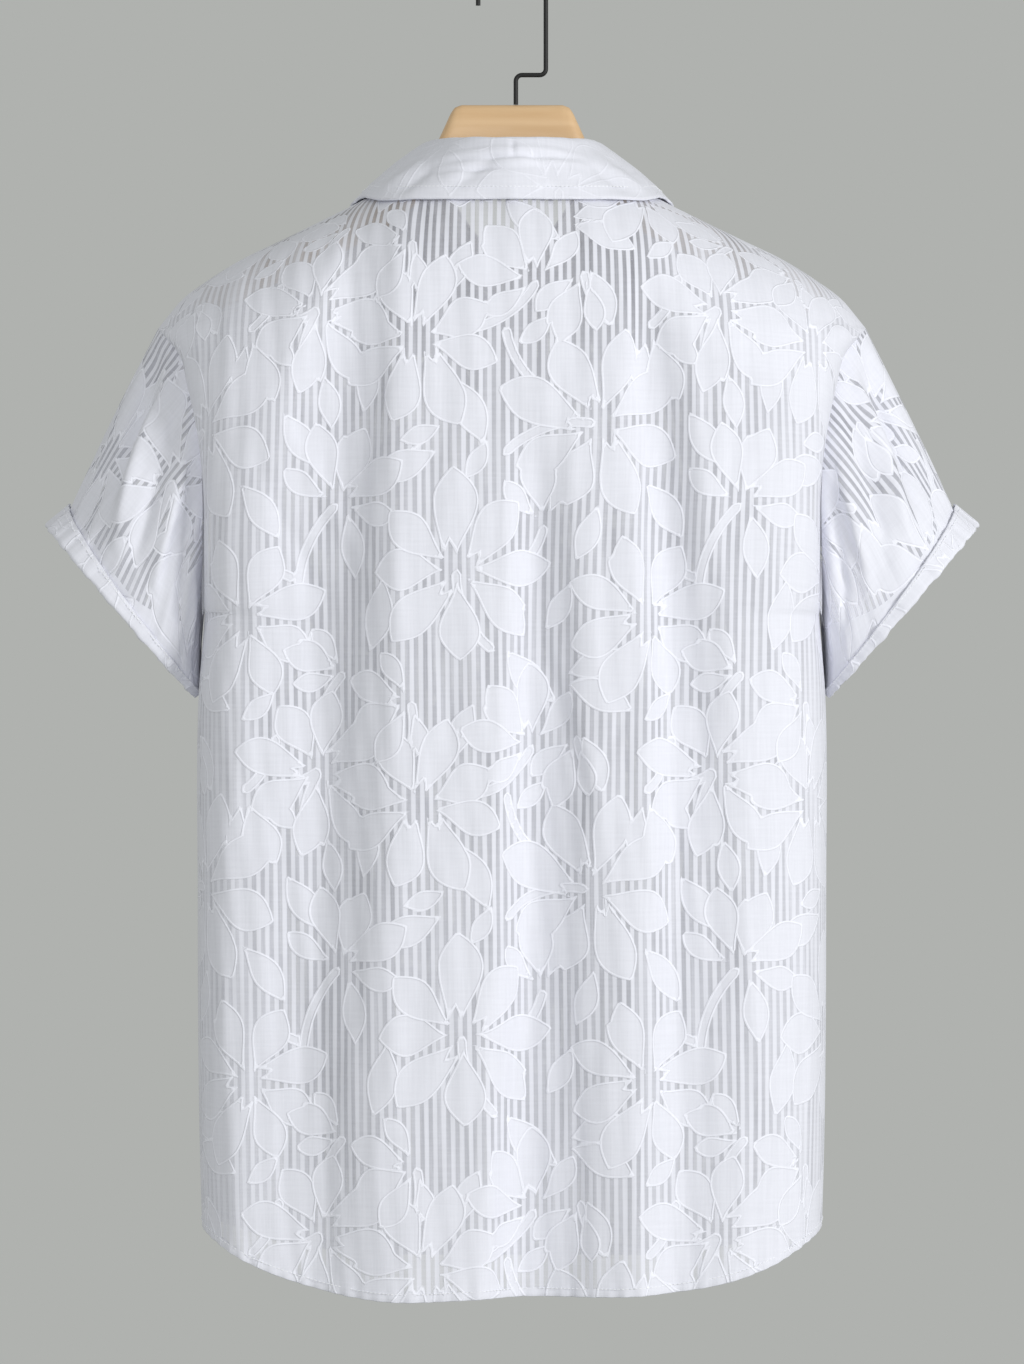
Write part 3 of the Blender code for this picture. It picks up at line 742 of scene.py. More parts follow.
def flower_shapes(petals, x, y, turn, size):
    """Layer and outline of each petal of one flower. A split petal has a second lobe."""
    made = []
    for direction, length, width, bend, layer, split in petals:
        way, length, width = math.radians(direction + turn), length * size, width * size
        side = np.array((-math.sin(way), math.cos(way)))
        start = np.array((x, y)) + HEART_RADIUS * size * np.array((math.cos(way), math.sin(way)))
        petal = outline(*start, direction + turn, length, width, bend, "petal")
        made.append((layer, petal))
        if split == "base":
            low = start + side * math.copysign(0.30 * width, bend)
            to = petal[OUTLINE_STEPS] - low
            course = math.degrees(math.atan2(to[1], to[0]))
            made.append((layer, outline(*low, course, np.linalg.norm(to) * 0.97, width * 0.66, 0.0, "petal")))
        if split == "tip":
            course = direction + turn - math.copysign(19.0, bend)
            made.append((layer, outline(*start, course, length * 0.84, width * 0.62, -bend, "petal")))
    return made


def repeat_shapes():
    """Layer and outline of every shape in one repeat."""
    made = [(0, outline(x, y, way, length, STEM_WIDTH, bend, "stem")) for x, y, way, length, bend in STEMS]
    for kind, x, y, turn, size in MOTIFS:
        if kind == "leaf":
            length, width, bend = LEAF_SIZE
            made.append((1, outline(x, y, turn, length * size, width * size, bend, "leaf")))
        else:
            made += flower_shapes(FLOWERS[kind], x, y, turn, size)
    return made


def outline_distance(points, ring):
    """Signed distance of points to a closed outline, negative inside it."""
    along = np.roll(ring, -1, axis=0) - ring
    to = points[:, None, :] - ring[None]
    t = np.clip((to * along).sum(2) / np.maximum((along * along).sum(1), 1e-12), 0.0, 1.0)
    far = np.sqrt(((to - along * t[..., None]) ** 2).sum(2)).min(1)
    y = points[:, None, 1]
    crosses = (ring[:, 1] > y) != (ring[:, 1] + along[:, 1] > y)
    at = ring[:, 0] + (y - ring[:, 1]) * along[:, 0] / np.where(along[:, 1] == 0.0, 1e-12, along[:, 1])
    inside = (crosses & (points[:, None, 0] < at)).sum(1) % 2 == 1
    return np.where(inside, -far, far)


def flower_layers(flat, offset):
    """Signed distance in mm from each point of a flat cut to each layer of the flowers."""
    points = flat.reshape(-1, 2) * 1000.0 + offset
    layers = np.full((len(points), LAYERS), FAR)
    first = np.floor((points.min(0) - 90.0) / REPEAT).astype(int)
    last = np.ceil((points.max(0) + 90.0) / REPEAT).astype(int)
    for layer, ring in repeat_shapes():
        for i in range(first[0], last[0] + 1):
            for j in range(first[1], last[1] + 1):
                moved = ring + REPEAT * (i, j)
                near = (points > moved.min(0) - FAR) & (points < moved.max(0) + FAR)
                near = np.flatnonzero(near.all(1))
                if len(near):
                    found = outline_distance(points[near], moved)
                    layers[near, layer] = np.minimum(layers[near, layer], found)
    return layers


# Meshes


def crease_height(creases, flat):
    """Height of the fine creases at places on a flat cut."""
    height = np.zeros(flat.shape[:-1])
    for u0, v0, u1, v1, half_width, high in creases:
        start, along = np.array((u0, v0)), np.array((u1 - u0, v1 - v0))
        share = ((flat - start) @ along) / (along @ along)
        far = np.linalg.norm(flat - start - np.clip(share, 0.0, 1.0)[..., None] * along, axis=-1)
        ends = np.sin(math.pi * np.clip(share, 0.02, 0.98)) ** 0.6
        height += high * ends * np.exp(-((far / half_width) ** 2))
    return height


def ripple_height(flat, height, across, down):
    """Soft uneven waves of hanging cloth, longer down the cloth than across it."""
    u, v = flat[..., 0] / across * 2 * math.pi, flat[..., 1] / down * 2 * math.pi
    wave = np.sin(u + 1.3 * np.sin(v * 0.7 + 0.4)) + 0.6 * np.sin(1.7 * u - 0.9 * v + 1.1 + np.sin(v))
    return height * 0.5 * (wave + 0.5 * np.sin(2.9 * u + 1.4 * v + 2.0 * np.sin(0.5 * v + 2.0)))


def turned_rows(points, normals, radius, width, rows):
    """Rows that turn a grid's last row under and lead back along its inside."""
    edge, normal = points[-1], normals[-1]
    out = unit(points[-1] - points[-2])
    made = []
    for angle in (0.25, 0.5, 0.75, 1.0):
        bent = angle * math.pi
        made.append(edge + out * radius * math.sin(bent) - normal * radius * (1.0 - math.cos(bent)))
    for i in range(1, rows + 1):
        made.append(edge - normal * 2 * radius - out * width * i / rows)
    return np.array(made)


def sheet_mesh(name, points, flat, layers, plain, material):
    """A sheet over a grid of points, with its flat cut as UV map and its flowers as attributes."""
    rows, columns = points.shape[:2]
    index = np.arange(rows * columns).reshape(rows, columns)
    faces = np.stack((index[:-1, :-1], index[:-1, 1:], index[1:, 1:], index[1:, :-1]), axis=-1).reshape(-1, 4)
    mesh = bpy.data.meshes.new(name)
    mesh.from_pydata(points.reshape(-1, 3).tolist(), [], faces.tolist())
    uv = mesh.uv_layers.new(name="flat")
    uv.data.foreach_set("uv", flat.reshape(-1, 2)[faces.ravel()].ravel().astype(np.float32))
    values = np.column_stack((layers, plain.ravel()))
    for part, attribute in enumerate(("flowers_low", "flowers_high")):
        data = mesh.attributes.new(attribute, "FLOAT_VECTOR", "POINT").data
        data.foreach_set("vector", values[:, 3 * part : 3 * part + 3].ravel().astype(np.float32))
    mesh.materials.append(material)
    mesh.shade_smooth()
    return link(name, mesh)


def link(name, data):
    piece = bpy.data.objects.new(name, data)
    bpy.context.scene.collection.objects.link(piece)
    return piece


def declare(piece, slot, *nodes):
    """Give a finished piece its body and hide the solids that it stands for. The slot is not used."""
    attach(piece, "root")
    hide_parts(*nodes)
    return piece


def plain_mesh(piece):
    """Turn a piece with modifiers, or a curve, into a plain mesh of the same name."""
    graph = bpy.context.evaluated_depsgraph_get()
    mesh = bpy.data.meshes.new_from_object(piece.evaluated_get(graph))
    name = piece.name
    bpy.data.objects.remove(piece, do_unlink=True)
    mesh.name = name
    return link(name, mesh)


def polyline(name, lines):
    """A curve object with a straight-segment spline through each line of points."""
    curve = bpy.data.curves.new(name, "CURVE")
    curve.dimensions = "3D"
    for points in lines:
        spline = curve.splines.new("POLY")
        spline.points.add(len(points) - 1)
        flat = np.column_stack((points, np.ones(len(points))))
        spline.points.foreach_set("co", flat.ravel().astype(np.float32))
    return link(name, curve)


# Stitches


def stitch_group():
    """Geometry nodes that lay small stitches along a curve."""
    found = bpy.data.node_groups.get("Stitches")
    if found:
        return found
    group = bpy.data.node_groups.new("Stitches", "GeometryNodeTree")
    face = group.interface
    face.new_socket("Geometry", in_out="INPUT", socket_type="NodeSocketGeometry")
    for label in ("Pitch", "Length", "Radius"):
        face.new_socket(label, in_out="INPUT", socket_type="NodeSocketFloat")
    face.new_socket("Material", in_out="INPUT", socket_type="NodeSocketMaterial")
    face.new_socket("Geometry", in_out="OUTPUT", socket_type="NodeSocketGeometry")
    given = add(group, "NodeGroupInput").outputs
    spread = add(group, "GeometryNodeCurveToPoints", mode="LENGTH")
    feed(group, spread, {"Curve": given["Geometry"], "Length": given["Pitch"]})
    turn = add(group, "FunctionNodeAlignRotationToVector", {"Vector": spread.outputs["Tangent"]}, axis="X")
    bead = add(group, "GeometryNodeMeshIcoSphere", {"Radius": 1.0})
    size = add(group, "ShaderNodeCombineXYZ", (given["Length"], given["Radius"], given["Radius"]))
    set_out = {"Points": spread.outputs["Points"], "Instance": bead, "Rotation": turn, "Scale": size}
    place = add(group, "GeometryNodeInstanceOnPoints", set_out)
    realize = add(group, "GeometryNodeRealizeInstances", {"Geometry": place})
    paint = add(group, "GeometryNodeSetMaterial", {"Geometry": realize, "Material": given["Material"]})
    add(group, "NodeGroupOutput", {"Geometry": paint})
    return group


def stitches(name, lines, settings):
    """Sewing stitches along lines of points, as one plain mesh."""
    piece = polyline(name, lines)
    modifier = piece.modifiers.new("Stitches", "NODES")
    modifier.node_group = stitch_group()
    step = settings.stitch_pitch
    values = {"Pitch": step, "Length": step * STITCH_SHARE, "Radius": settings.stitch_radius}
    values["Material"] = thread_finish()
    for item in modifier.node_group.interface.items_tree:
        if item.in_out == "INPUT" and item.name in values:
            modifier[item.identifier] = values[item.name]
    return declare(plain_mesh(piece), "cloth")


# Finishes


MATH = "ShaderNodeMath"
RANGE = "ShaderNodeMapRange"
# Scales to a metre along the cut and up it, and detail: the stripes' drift, the warp and the weft.
# The threads are drawn about 2 mm apart, coarser than real ones, so that they show.
WEAVE_NOISES = (((95.0, 5.0), 3.0), ((520.0, 26.0), 2.0), ((34.0, 560.0), 2.0))
THREAD_SHARES = (0.6, 0.4)
# Soft edge, cover and drift of a stripe, and how far threads and drift change the sheer ground
STRIPE_EDGE = 0.05
STRIPE_COVER = 0.97
STRIPE_DRIFT = 0.35
THREAD_COVER = 0.24
DRIFT_COVER = 0.7
# Brightness of the ground, and what threads and cords add to it
GROUND_TONE = 0.78
THREAD_TONE = 0.18
CORD_TONE = 0.12
# Edges of a cord as shares of its half width, its strength in double cloth, and heights against a cord
CORD_EDGE = (0.5, 1.35)
DOUBLE_CORD = 0.45
FIGURE_HEIGHT = 0.35
THREAD_HEIGHT = 0.5
# Grain about 110 mm long and 8 mm wide
GRAIN_SCALE = (9.0, 120.0, 120.0)
GRAIN_STOPS = (0.30, 0.72)


def feed(tree, node, inputs):
    """Set or link a node's inputs, in order or by name. A node as a value links its first output."""
    for key, value in inputs.items() if isinstance(inputs, dict) else enumerate(inputs):
        if isinstance(value, bpy.types.Node):
            value = value.outputs[0]
        if isinstance(value, bpy.types.NodeSocket):
            tree.links.new(value, node.inputs[key])
        elif value is not None:
            node.inputs[key].default_value = value


def add(tree, kind, inputs=(), **settings):
    """Add a node, set its properties, and feed its inputs."""
    node = tree.nodes.new(kind)
    for key, value in settings.items():
        setattr(node, key, value)
    feed(tree, node, inputs)
    return node


def finish(name, colour, roughness):
    """A Principled material of one colour. Returns the material, its tree and its shader."""
    material = bpy.data.materials.new(name)
    material.use_nodes = True
    tree = material.node_tree
    shader = tree.nodes["Principled BSDF"]
    shader.inputs["Base Color"].default_value = colour
    shader.inputs["Roughness"].default_value = roughness
    return material, tree, shader


def flower_masks(tree, cord):
    """Masks of the weave's opaque figures, of the cords round them and of plain cloth."""
    opaque, line = 0.0, 0.0
    for attribute, count in (("flowers_low", 3), ("flowers_high", 2)):
        read = add(tree, "ShaderNodeAttribute", attribute_name=attribute, attribute_type="GEOMETRY")
        parts = add(tree, "ShaderNodeSeparateXYZ", (read.outputs["Vector"],))
        for i in range(count):
            inside = add(tree, RANGE, (parts.outputs[i], -0.1, 0.1, 1.0, 0.0))
            near = add(tree, MATH, (parts.outputs[i],), operation="ABSOLUTE")
            edge = add(tree, RANGE, (near, cord * CORD_EDGE[0], cord * CORD_EDGE[1], 1.0, 0.0))
            outside = add(tree, MATH, (1.0, inside), operation="SUBTRACT")
            under = add(tree, MATH, (line, outside), operation="MULTIPLY")
            line = add(tree, MATH, (under, edge), operation="MAXIMUM")
            opaque = add(tree, MATH, (opaque, inside), operation="MAXIMUM")
    return opaque, line, add(tree, RANGE, (parts.outputs[2], -0.3, 0.3, 1.0, 0.0))


def jacquard_finish(name, settings, double, thinner=0.0):
    """Matt white burnt-out jacquard: sheer stripes, opaque flowers and a raised cord round each."""
    material, tree, shader = finish(name, settings.cloth_colour, 0.80)
    opaque, line, plain = flower_masks(tree, settings.cord)
    place = add(tree, "ShaderNodeUVMap", uv_map="flat")
    noises = []
    for scale, detail in WEAVE_NOISES:
        stretched = add(tree, "ShaderNodeMapping", {"Vector": place, "Scale": (*scale, 1.0)})
        inputs = {"Vector": stretched, "Scale": 1.0, "Detail": detail}
        noises.append(add(tree, "ShaderNodeTexNoise", inputs))
    uneven, warp, weft = noises
    weave = add(tree, MATH, (warp, THREAD_SHARES[0]), operation="MULTIPLY")
    weave = add(tree, MATH, (weft, THREAD_SHARES[1], weave), operation="MULTIPLY_ADD")
    if double:
        line = add(tree, MATH, (line, DOUBLE_CORD), operation="MULTIPLY")
    else:
        axes = add(tree, "ShaderNodeSeparateXYZ", (place,))
        across, up = axes.outputs[0], axes.outputs[1]
        uneven = add(tree, MATH, (uneven, 0.5), operation="SUBTRACT")
        turns = add(tree, MATH, (across, settings.stripe_pitch), operation="DIVIDE")
        turns = add(tree, MATH, (uneven, STRIPE_DRIFT, turns), operation="MULTIPLY_ADD")
        turns = add(tree, MATH, (turns,), operation="FRACT")
        offset = add(tree, MATH, (turns, 0.5), operation="SUBTRACT")
        offset = add(tree, MATH, (offset,), operation="ABSOLUTE")
        half = settings.stripe_share / 2
        stripe = add(tree, RANGE, (offset, half - STRIPE_EDGE, half + STRIPE_EDGE, STRIPE_COVER, 0.0))
        cover = add(tree, MATH, (opaque, line), operation="MAXIMUM")
        cover = add(tree, MATH, (cover, plain), operation="MAXIMUM")
        cover = add(tree, MATH, (cover, stripe), operation="MAXIMUM")
        aside = add(tree, MATH, (across,), operation="ABSOLUTE")
        middle = add(tree, RANGE, (aside, *HIGH_REACH, -HIGH_SHEER, 0.0))
        high = add(tree, RANGE, (up, HIGH_CLOTH[1], HIGH_CLOTH[0], 1.0, 0.0))
        ground = settings.sheer - THREAD_COVER / 2 - thinner
        sheer = add(tree, MATH, (high, middle, ground), operation="MULTIPLY_ADD")
        if not thinner:
            at_side = add(tree, RANGE, (aside, SIDE_CLOTH[1], SIDE_CLOTH[0], SIDE_COVER, 0.0))
            sheer = add(tree, MATH, (sheer, at_side), operation="ADD")
        sheer = add(tree, MATH, (weave, THREAD_COVER, sheer), operation="MULTIPLY_ADD")
        sheer = add(tree, MATH, (uneven, DRIFT_COVER, sheer), operation="MULTIPLY_ADD")
        alpha = add(tree, "ShaderNodeMix", (cover, None, sheer, 1.0), data_type="FLOAT")
        feed(tree, shader, {"Alpha": alpha})
    tone = add(tree, MATH, (weave, THREAD_TONE, GROUND_TONE), operation="MULTIPLY_ADD")
    tone = add(tree, MATH, (line, CORD_TONE, tone), operation="MULTIPLY_ADD")
    colour = shader.inputs["Base Color"].default_value[:3]
    shade = add(tree, "ShaderNodeVectorMath", {0: colour, 3: tone}, operation="SCALE")
    height = add(tree, MATH, (opaque, FIGURE_HEIGHT, line), operation="MULTIPLY_ADD")
    height = add(tree, MATH, (weave, THREAD_HEIGHT, height), operation="MULTIPLY_ADD")
    bump = add(tree, "ShaderNodeBump", {"Height": height, "Strength": 0.75, "Distance": 0.0004})
    feed(tree, shader, {"Base Color": shade, "Normal": bump, "Sheen Weight": 0.15, "Specular IOR Level": 0.3})
    return material


def thread_finish():
    """White sewing thread: smooth, a little brighter and glossier than the cloth."""
    found = bpy.data.materials.get("White sewing thread")
    return found or finish("White sewing thread", linear("#F7F8FB"), 0.6)[0]


def wood_finish(settings):
    """Light lacquered wood, half glossy, with fine grain along the hanger."""
    material, tree, shader = finish("Light lacquered wood", settings.wood_dark, 0.45)
    place = add(tree, "ShaderNodeTexCoord").outputs["Object"]
    stretched = add(tree, "ShaderNodeMapping", {"Vector": place, "Scale": GRAIN_SCALE})
    inputs = {"Vector": stretched, "Scale": 1.0, "Detail": 4.0, "Distortion": 0.3}
    grain = add(tree, "ShaderNodeTexNoise", inputs)
    ramp = add(tree, "ShaderNodeValToRGB", (grain,))
    tones = (settings.wood_dark, settings.wood_light)
    for stop, share, colour in zip(ramp.color_ramp.elements, GRAIN_STOPS, tones):
        stop.position = share
        stop.color = colour
    bump = add(tree, "ShaderNodeBump", {"Height": grain, "Strength": 0.15, "Distance": 0.0002})
    feed(tree, shader, {"Base Color": ramp, "Normal": bump, "Coat Weight": 0.2})
    return material


# Pieces


def cloth_piece(
    name, points, flat, material, ripple, offset, turned=None, creases=(), extra=0.0, calm=1.0, plain=FAR
):
    """A cloth sheet with its creases and flowers, and an edge that is turned under."""
    height = crease_height(creases, flat) + extra + ripple_height(flat, *ripple)
    points = points + grid_normals(points) * (height * calm)[..., None]
    layers = flower_layers(flat, offset)
    plain = np.broadcast_to(plain, flat.shape[:2])
    if turned is not None:
        edge = turned_rows(points[::-1], grid_normals(points)[::-1], *turned)[::-1]
        points = np.concatenate((edge, points))
        flat = np.concatenate((np.repeat(flat[:1], len(edge), axis=0), flat))
        plain = np.concatenate((np.full((len(edge), plain.shape[1]), -FAR), plain))
        layers = np.concatenate((np.full((len(edge) * plain.shape[1], LAYERS), FAR), layers))
    return sheet_mesh(name + "_cloth", points, flat, layers, plain, material)


class SHIRT_OT_body(bpy.types.Operator):
    """Build the back and the two fronts"""

    bl_idname = "shirt.body"
    bl_label = "Body"

    # Columns: panel, whether it is a front, side, place of its cut on the flowers in mm
    PANELS = (
        ("back", False, 1.0, (96.0, 40.0)),
        ("front_left", True, 1.0, (20.0, 180.0)),
        ("front_right", True, -1.0, (150.0, 180.0)),
    )

    def panel(self, front, sign, half, step):
        """Points of a panel, its row at the underarm and its middle column."""
        if not front:
            points, level = panel_grid(False, np.concatenate((half[::-1], -half[1:])), step)
            return points, level, len(half) - 1
        lap = np.linspace(1.0, 0.0, LAP_COLUMNS + 1)[:-1]
        points, level = panel_grid(True, np.concatenate((-LAP / TIP_X * lap, half)) * sign, step)
        for i, share in enumerate(lap):
            points[:, i] = panel_point(True, np.full(len(points), -LAP * share * sign), points[:, i, 2])
        points = points + lap_shift(points[..., 0] * sign, sign > 0)
        if sign > 0:
            return points, level, LAP_COLUMNS
        return points[:, ::-1], level, points.shape[1] - 1 - LAP_COLUMNS

    def execute(self, context):
        settings = context.scene.shirt
        material = jacquard_finish("White burnt-out jacquard", settings, False)
        half = half_columns(settings.grid)
        for name, front, sign, offset in self.PANELS:
            points, level, middle = self.panel(front, sign, half, settings.grid)
            flat = unrolled(points, middle, level)
            rise = (flat[..., 1] - flat[:1, :, 1]) * 1000.0
            plain = rise - HEM_PLAIN
            height, pitch, reach = HEM_PUCKER
            pucker = height * np.sin(flat[..., 0] / pitch * 2 * math.pi) * np.exp(-rise / reach)
            aside, z = np.abs(points[..., 0]), points[..., 2]
            calm = ease(ridge_z(aside) - z, 0.0, 0.03) * (1.0 - ease(aside / side_x(z), 0.92, 1.0))
            if front:
                plain = np.minimum(plain, (aside - LAP) * 1000.0)
                calm = calm * ease(aside, *BAND_CALM)
            piece = cloth_piece(
                name,
                points,
                flat,
                material,
                ripple=(0.0008, 0.042, 0.19),
                offset=offset,
                turned=HEM_TURN,
                creases=FRONT_CREASES if front else BACK_CREASES,
                extra=pucker,
                calm=calm,
                plain=plain,
            )
            raised = points + grid_normals(points) * STITCH_RISE
            lines = [raised[int(round(HEM_SEAM / settings.grid))]]
            if front:
                for at in (BAND_STITCH_X, -BAND_STITCH_X):
                    lines.append(raised[3:, int(np.argmin(np.abs(points[40, :, 0] - at)))])
            declare(piece, "cloth", name)
            stitches(name + "_stitches", lines, settings)
        return {"FINISHED"}


def sleeve_points(sign, turn, shares):
    """Rows of a sleeve from the armhole down to where its end is turned up."""
    top = np.array((SLEEVE_END_TOP[0] * sign, 0.0, SLEEVE_END_TOP[1]))
    bottom = np.array((SLEEVE_END_BOTTOM[0] * sign, 0.0, SLEEVE_END_BOTTOM[1]))
    across = (top - bottom) * (sign, 0.0, 1.0)
    axis = unit(np.array((across[2] * sign, 0.0, -across[0])))
    upward = np.array((-axis[2] * sign, 0.0, axis[0] * sign))
    cos, sin = np.cos(turn), np.sin(turn)
    out = unit(upward * cos[:, None] + stack(0.0, sin, 0.0))
    end = (top + bottom) / 2 + (top - bottom) / 2 * cos[:, None] + stack(0.0, SLEEVE_END_DEPTH * sin, 0.0)
    degrees = np.degrees(turn) % 360.0
    width = follow(TURN_WIDTH, np.minimum(degrees, 360.0 - degrees))[:, None]
    notch = end - axis * width
    seam_z = TIP_Z + (UNDERARM_Z - TIP_Z) * (1.0 - cos) / 2
    start = stack(sign * side_x(seam_z), ARMHOLE_DEPTH * sin, seam_z)
    lift = np.maximum(0.0, -cos) ** 0.6
    clear = stack(sign * UNDERARM_SWELL * lift, 0.0, 0.0)
    start = start + stack(sign * UNDERARM_START * lift, 0.0, 0.0)
    fold = np.zeros(len(turn))
    for middle, reach, deep in SLEEVE_FOLDS:
        share = np.minimum(np.abs(degrees - middle) / reach, 1.0)
        fold += deep * np.cos(share * math.pi / 2) ** 2
    bulge = out * (SLEEVE_SWELL * np.abs(sin) - fold)[:, None] + clear
    t = shares[:, None, None]
    rows = start + (notch - start) * t + bulge * 4.0 * t * (1.0 - t)
    flatness = (1.0 - UNDERARM_FLAT * lift)[:, None]
    return rows, axis, out * flatness, end, notch


def turned_end(axis, out, end, notch):
    """Rows of the turned-up end: down to its fold, round it and up to the free edge."""
    low = end - axis * TURN_START
    rows = [notch + (low - notch) * t for t in (0.25, 0.5, 0.75)]
    for angle in np.linspace(0.0, math.pi, 9):
        swing = axis * TURN_START * math.sin(angle) - out * TURN_RADIUS * math.cos(angle)
        rows.append(low + out * TURN_RADIUS + swing)
    high = notch + out * TURN_LIFT + axis * TURN_START / 6
    rows += [rows[-1] + (high - rows[-1]) * t for t in np.linspace(0.0, 1.0, 12)[1:]]
    return np.array(rows)


class SHIRT_OT_sleeves(bpy.types.Operator):
    """Build both sleeves with their turned-up ends"""

    bl_idname = "shirt.sleeves"
    bl_label = "Sleeves"

    def creases(self, turn, rows, band):
        """Creases that fan out from the sleeve's head, and small puckers across its turned-up end."""
        around = (turn % (2.0 * math.pi)) / (2.0 * math.pi) * SLEEVE_GIRTH
        down = np.linspace(0.0, SLEEVE_FALL, rows)
        place = np.stack(np.broadcast_arrays(around[None], down[:, None]), axis=2)
        height, pitch = TURN_PUCKER
        pucker = height * np.sin(around / pitch * 2 * math.pi + 2.0 * np.sin(around / 0.027 * 2 * math.pi))
        slant = np.linspace(0.4, 1.0, band)[:, None]
        return np.concatenate((crease_height(SLEEVE_CREASES, place), pucker * slant))

    def flat_cut(self, points, axis, first):
        """Flat cut of a sleeve, and the way down it, where row first starts the turned-up end."""
        steps = np.diff(points, axis=1)
        level = steps - (steps @ axis)[..., None] * axis
        across = np.linalg.norm(level, axis=2).cumsum(1)
        across = np.concatenate((np.zeros((len(points), 1)), across), axis=1)
        across -= across[:, points.shape[1] // 2][:, None]
        up = np.linalg.norm(np.diff(points, axis=0), axis=2).cumsum(0)
        up = np.concatenate((np.zeros((1, points.shape[1])), up))
        travel = points @ axis
        travel[first:] = travel[first - 1] + (up[first:] - up[first - 1])
        lean = SLEEVE_LEAN * (travel - travel.min()) * np.sign(across) * ease(np.abs(across), 0.0, 0.06)
        return np.stack((across + lean, -travel), axis=2), travel, up

    def execute(self, context):
        settings = context.scene.shirt
        material = jacquard_finish("White burnt-out jacquard of the sleeves", settings, False, SLEEVE_SHEER)
        shares = np.linspace(0.0, 1.0, int(SLEEVE_DOWN / settings.grid))
        for name, sign in (("sleeve_left", 1.0), ("sleeve_right", -1.0)):
            turn = np.linspace(-math.pi, math.pi, int(SLEEVE_ROUND / settings.grid))
            rows, axis, out, end, notch = sleeve_points(sign, turn, shares)
            band = turned_end(axis, out, end, notch)
            points = np.concatenate((rows, band))
            if sign > 0:
                points, turn = points[:, ::-1], turn[::-1]
            flat, travel, up = self.flat_cut(points, axis, len(rows))
            bare = PLAIN_ZONE * ease(np.abs(np.degrees(turn)), 84.0, 150.0)
            plain = (travel[len(rows) - 1] - travel - bare - TURN_PLAIN) * 1000.0
            plain[len(rows) :] = -FAR
            height = self.creases(turn, len(rows), len(band))
            points, flat = points[::-1], flat[::-1]
            piece = cloth_piece(
                name,
                points,
                flat,
                material,
                ripple=(0.0007, 0.030, 0.12),
                offset=(70.0, 30.0),
                turned=SLEEVE_TURN,
                extra=height[::-1],
                calm=ease(up, 0.0, 0.02)[::-1],
                plain=plain[::-1],
            )
            sewn = points[2] + grid_normals(points)[2] * STITCH_RISE
            declare(piece, "cloth", name)
            stitches(name + "_stitches", [sewn], settings)
        return {"FINISHED"}


def neck_ring(turn):
    x = NECK_HALF * np.sin(turn)
    front = np.abs(turn) > math.pi / 2
    back_points = panel_point(False, x, neck_z(False, turn))
    front_points = panel_point(True, x, neck_z(True, turn))
    return np.where(front[:, None], front_points, back_points)


def stand_top(turn):
    """Upper edge of the stand."""
    back = BACK_STAND_Z + (SIDE_STAND_Z - BACK_STAND_Z) * np.sin(turn) ** 2
    front = SIDE_STAND_Z + (FRONT_STAND_Z - SIDE_STAND_Z) * np.cos(turn) ** 2
    z = np.where(np.abs(turn) < math.pi / 2, back, front)
    return stack(STAND_HALF * np.sin(turn), STAND_MIDDLE_Y + STAND_HALF_DEPTH * np.cos(turn), z)


def stand_lap(turn):
    """Shift of the stand's ends, which lap as the fronts do."""
    own_x = NECK_HALF * np.sin(turn) * np.sign(turn)
    shift = np.where((turn > 0)[:, None], lap_shift(own_x, True), lap_shift(own_x, False))
    return np.where((np.abs(turn) > math.pi / 2)[:, None], shift, 0.0)


def fall_edge(share, sign):
    """Lower edge of the fall, which rests on the back, the shoulder and the front."""
    x, z = follow(FALL_EDGE, share, 1), follow(FALL_EDGE, share, 2)
    below = np.minimum(z, ridge_z(x) - 0.0001)
    back = panel_point(False, x * sign, below) + panel_normal(False, x * sign, below) * FALL_REST[False]
    front = panel_point(True, x * sign, below) + panel_normal(True, x * sign, below) * FALL_REST[True]
    blend = ease(share, SHOULDER_SHARE - 0.055, SHOULDER_SHARE + 0.055)[:, None]
    top = stack(x * sign, 0.0, np.maximum(z, ridge_z(x) + SHOULDER_REST))
    edge = np.where(share[:, None] < SHOULDER_SHARE, back, front)
    near = 1.0 - np.abs(2.0 * blend - 1.0)
    return edge * (1.0 - near) + top * near


def lie_over(points, front):
    """Lift points of the fall off the panel under them, where they would sink in."""
    x, z = points[:, 0], points[:, 2]
    normal = panel_normal(front, x, z)
    height = ((points - panel_point(front, x, z)) * normal).sum(1)
    lift = np.maximum(0.0, FALL_REST[front] - height) * (z < ridge_z(x))
    return points + normal * lift[:, None]


def fall_half(share, sign):
    """Rows of half the fall, from the stand's edge over its fold to the lower edge."""
    turn = share * (math.pi - math.asin(FALL_START_X / STAND_HALF)) * sign
    up = unit(stand_top(turn) - neck_ring(turn))
    out = unit(stack(np.sin(turn) / STAND_HALF, np.cos(turn) / STAND_HALF_DEPTH, 0.0))
    start = stand_top(turn) + stand_lap(turn)
    fold = start + out * FOLD_OUT + up * FOLD_RISE
    edge = fall_edge(share, sign)
    rows = [start + up * FALL_SEAM, start + up * FOLD_TOP + out * FOLD_OUT / 3.5]
    for t in np.linspace(0.0, 1.0, 7):
        point = fold + (edge - fold) * t + out * (FALL_HOLLOW * math.sin(math.pi * t))
        over = np.where((share > SHOULDER_SHARE)[:, None], lie_over(point, True), lie_over(point, False))
        rows.append(over)
    return through_rows(rows, 34)


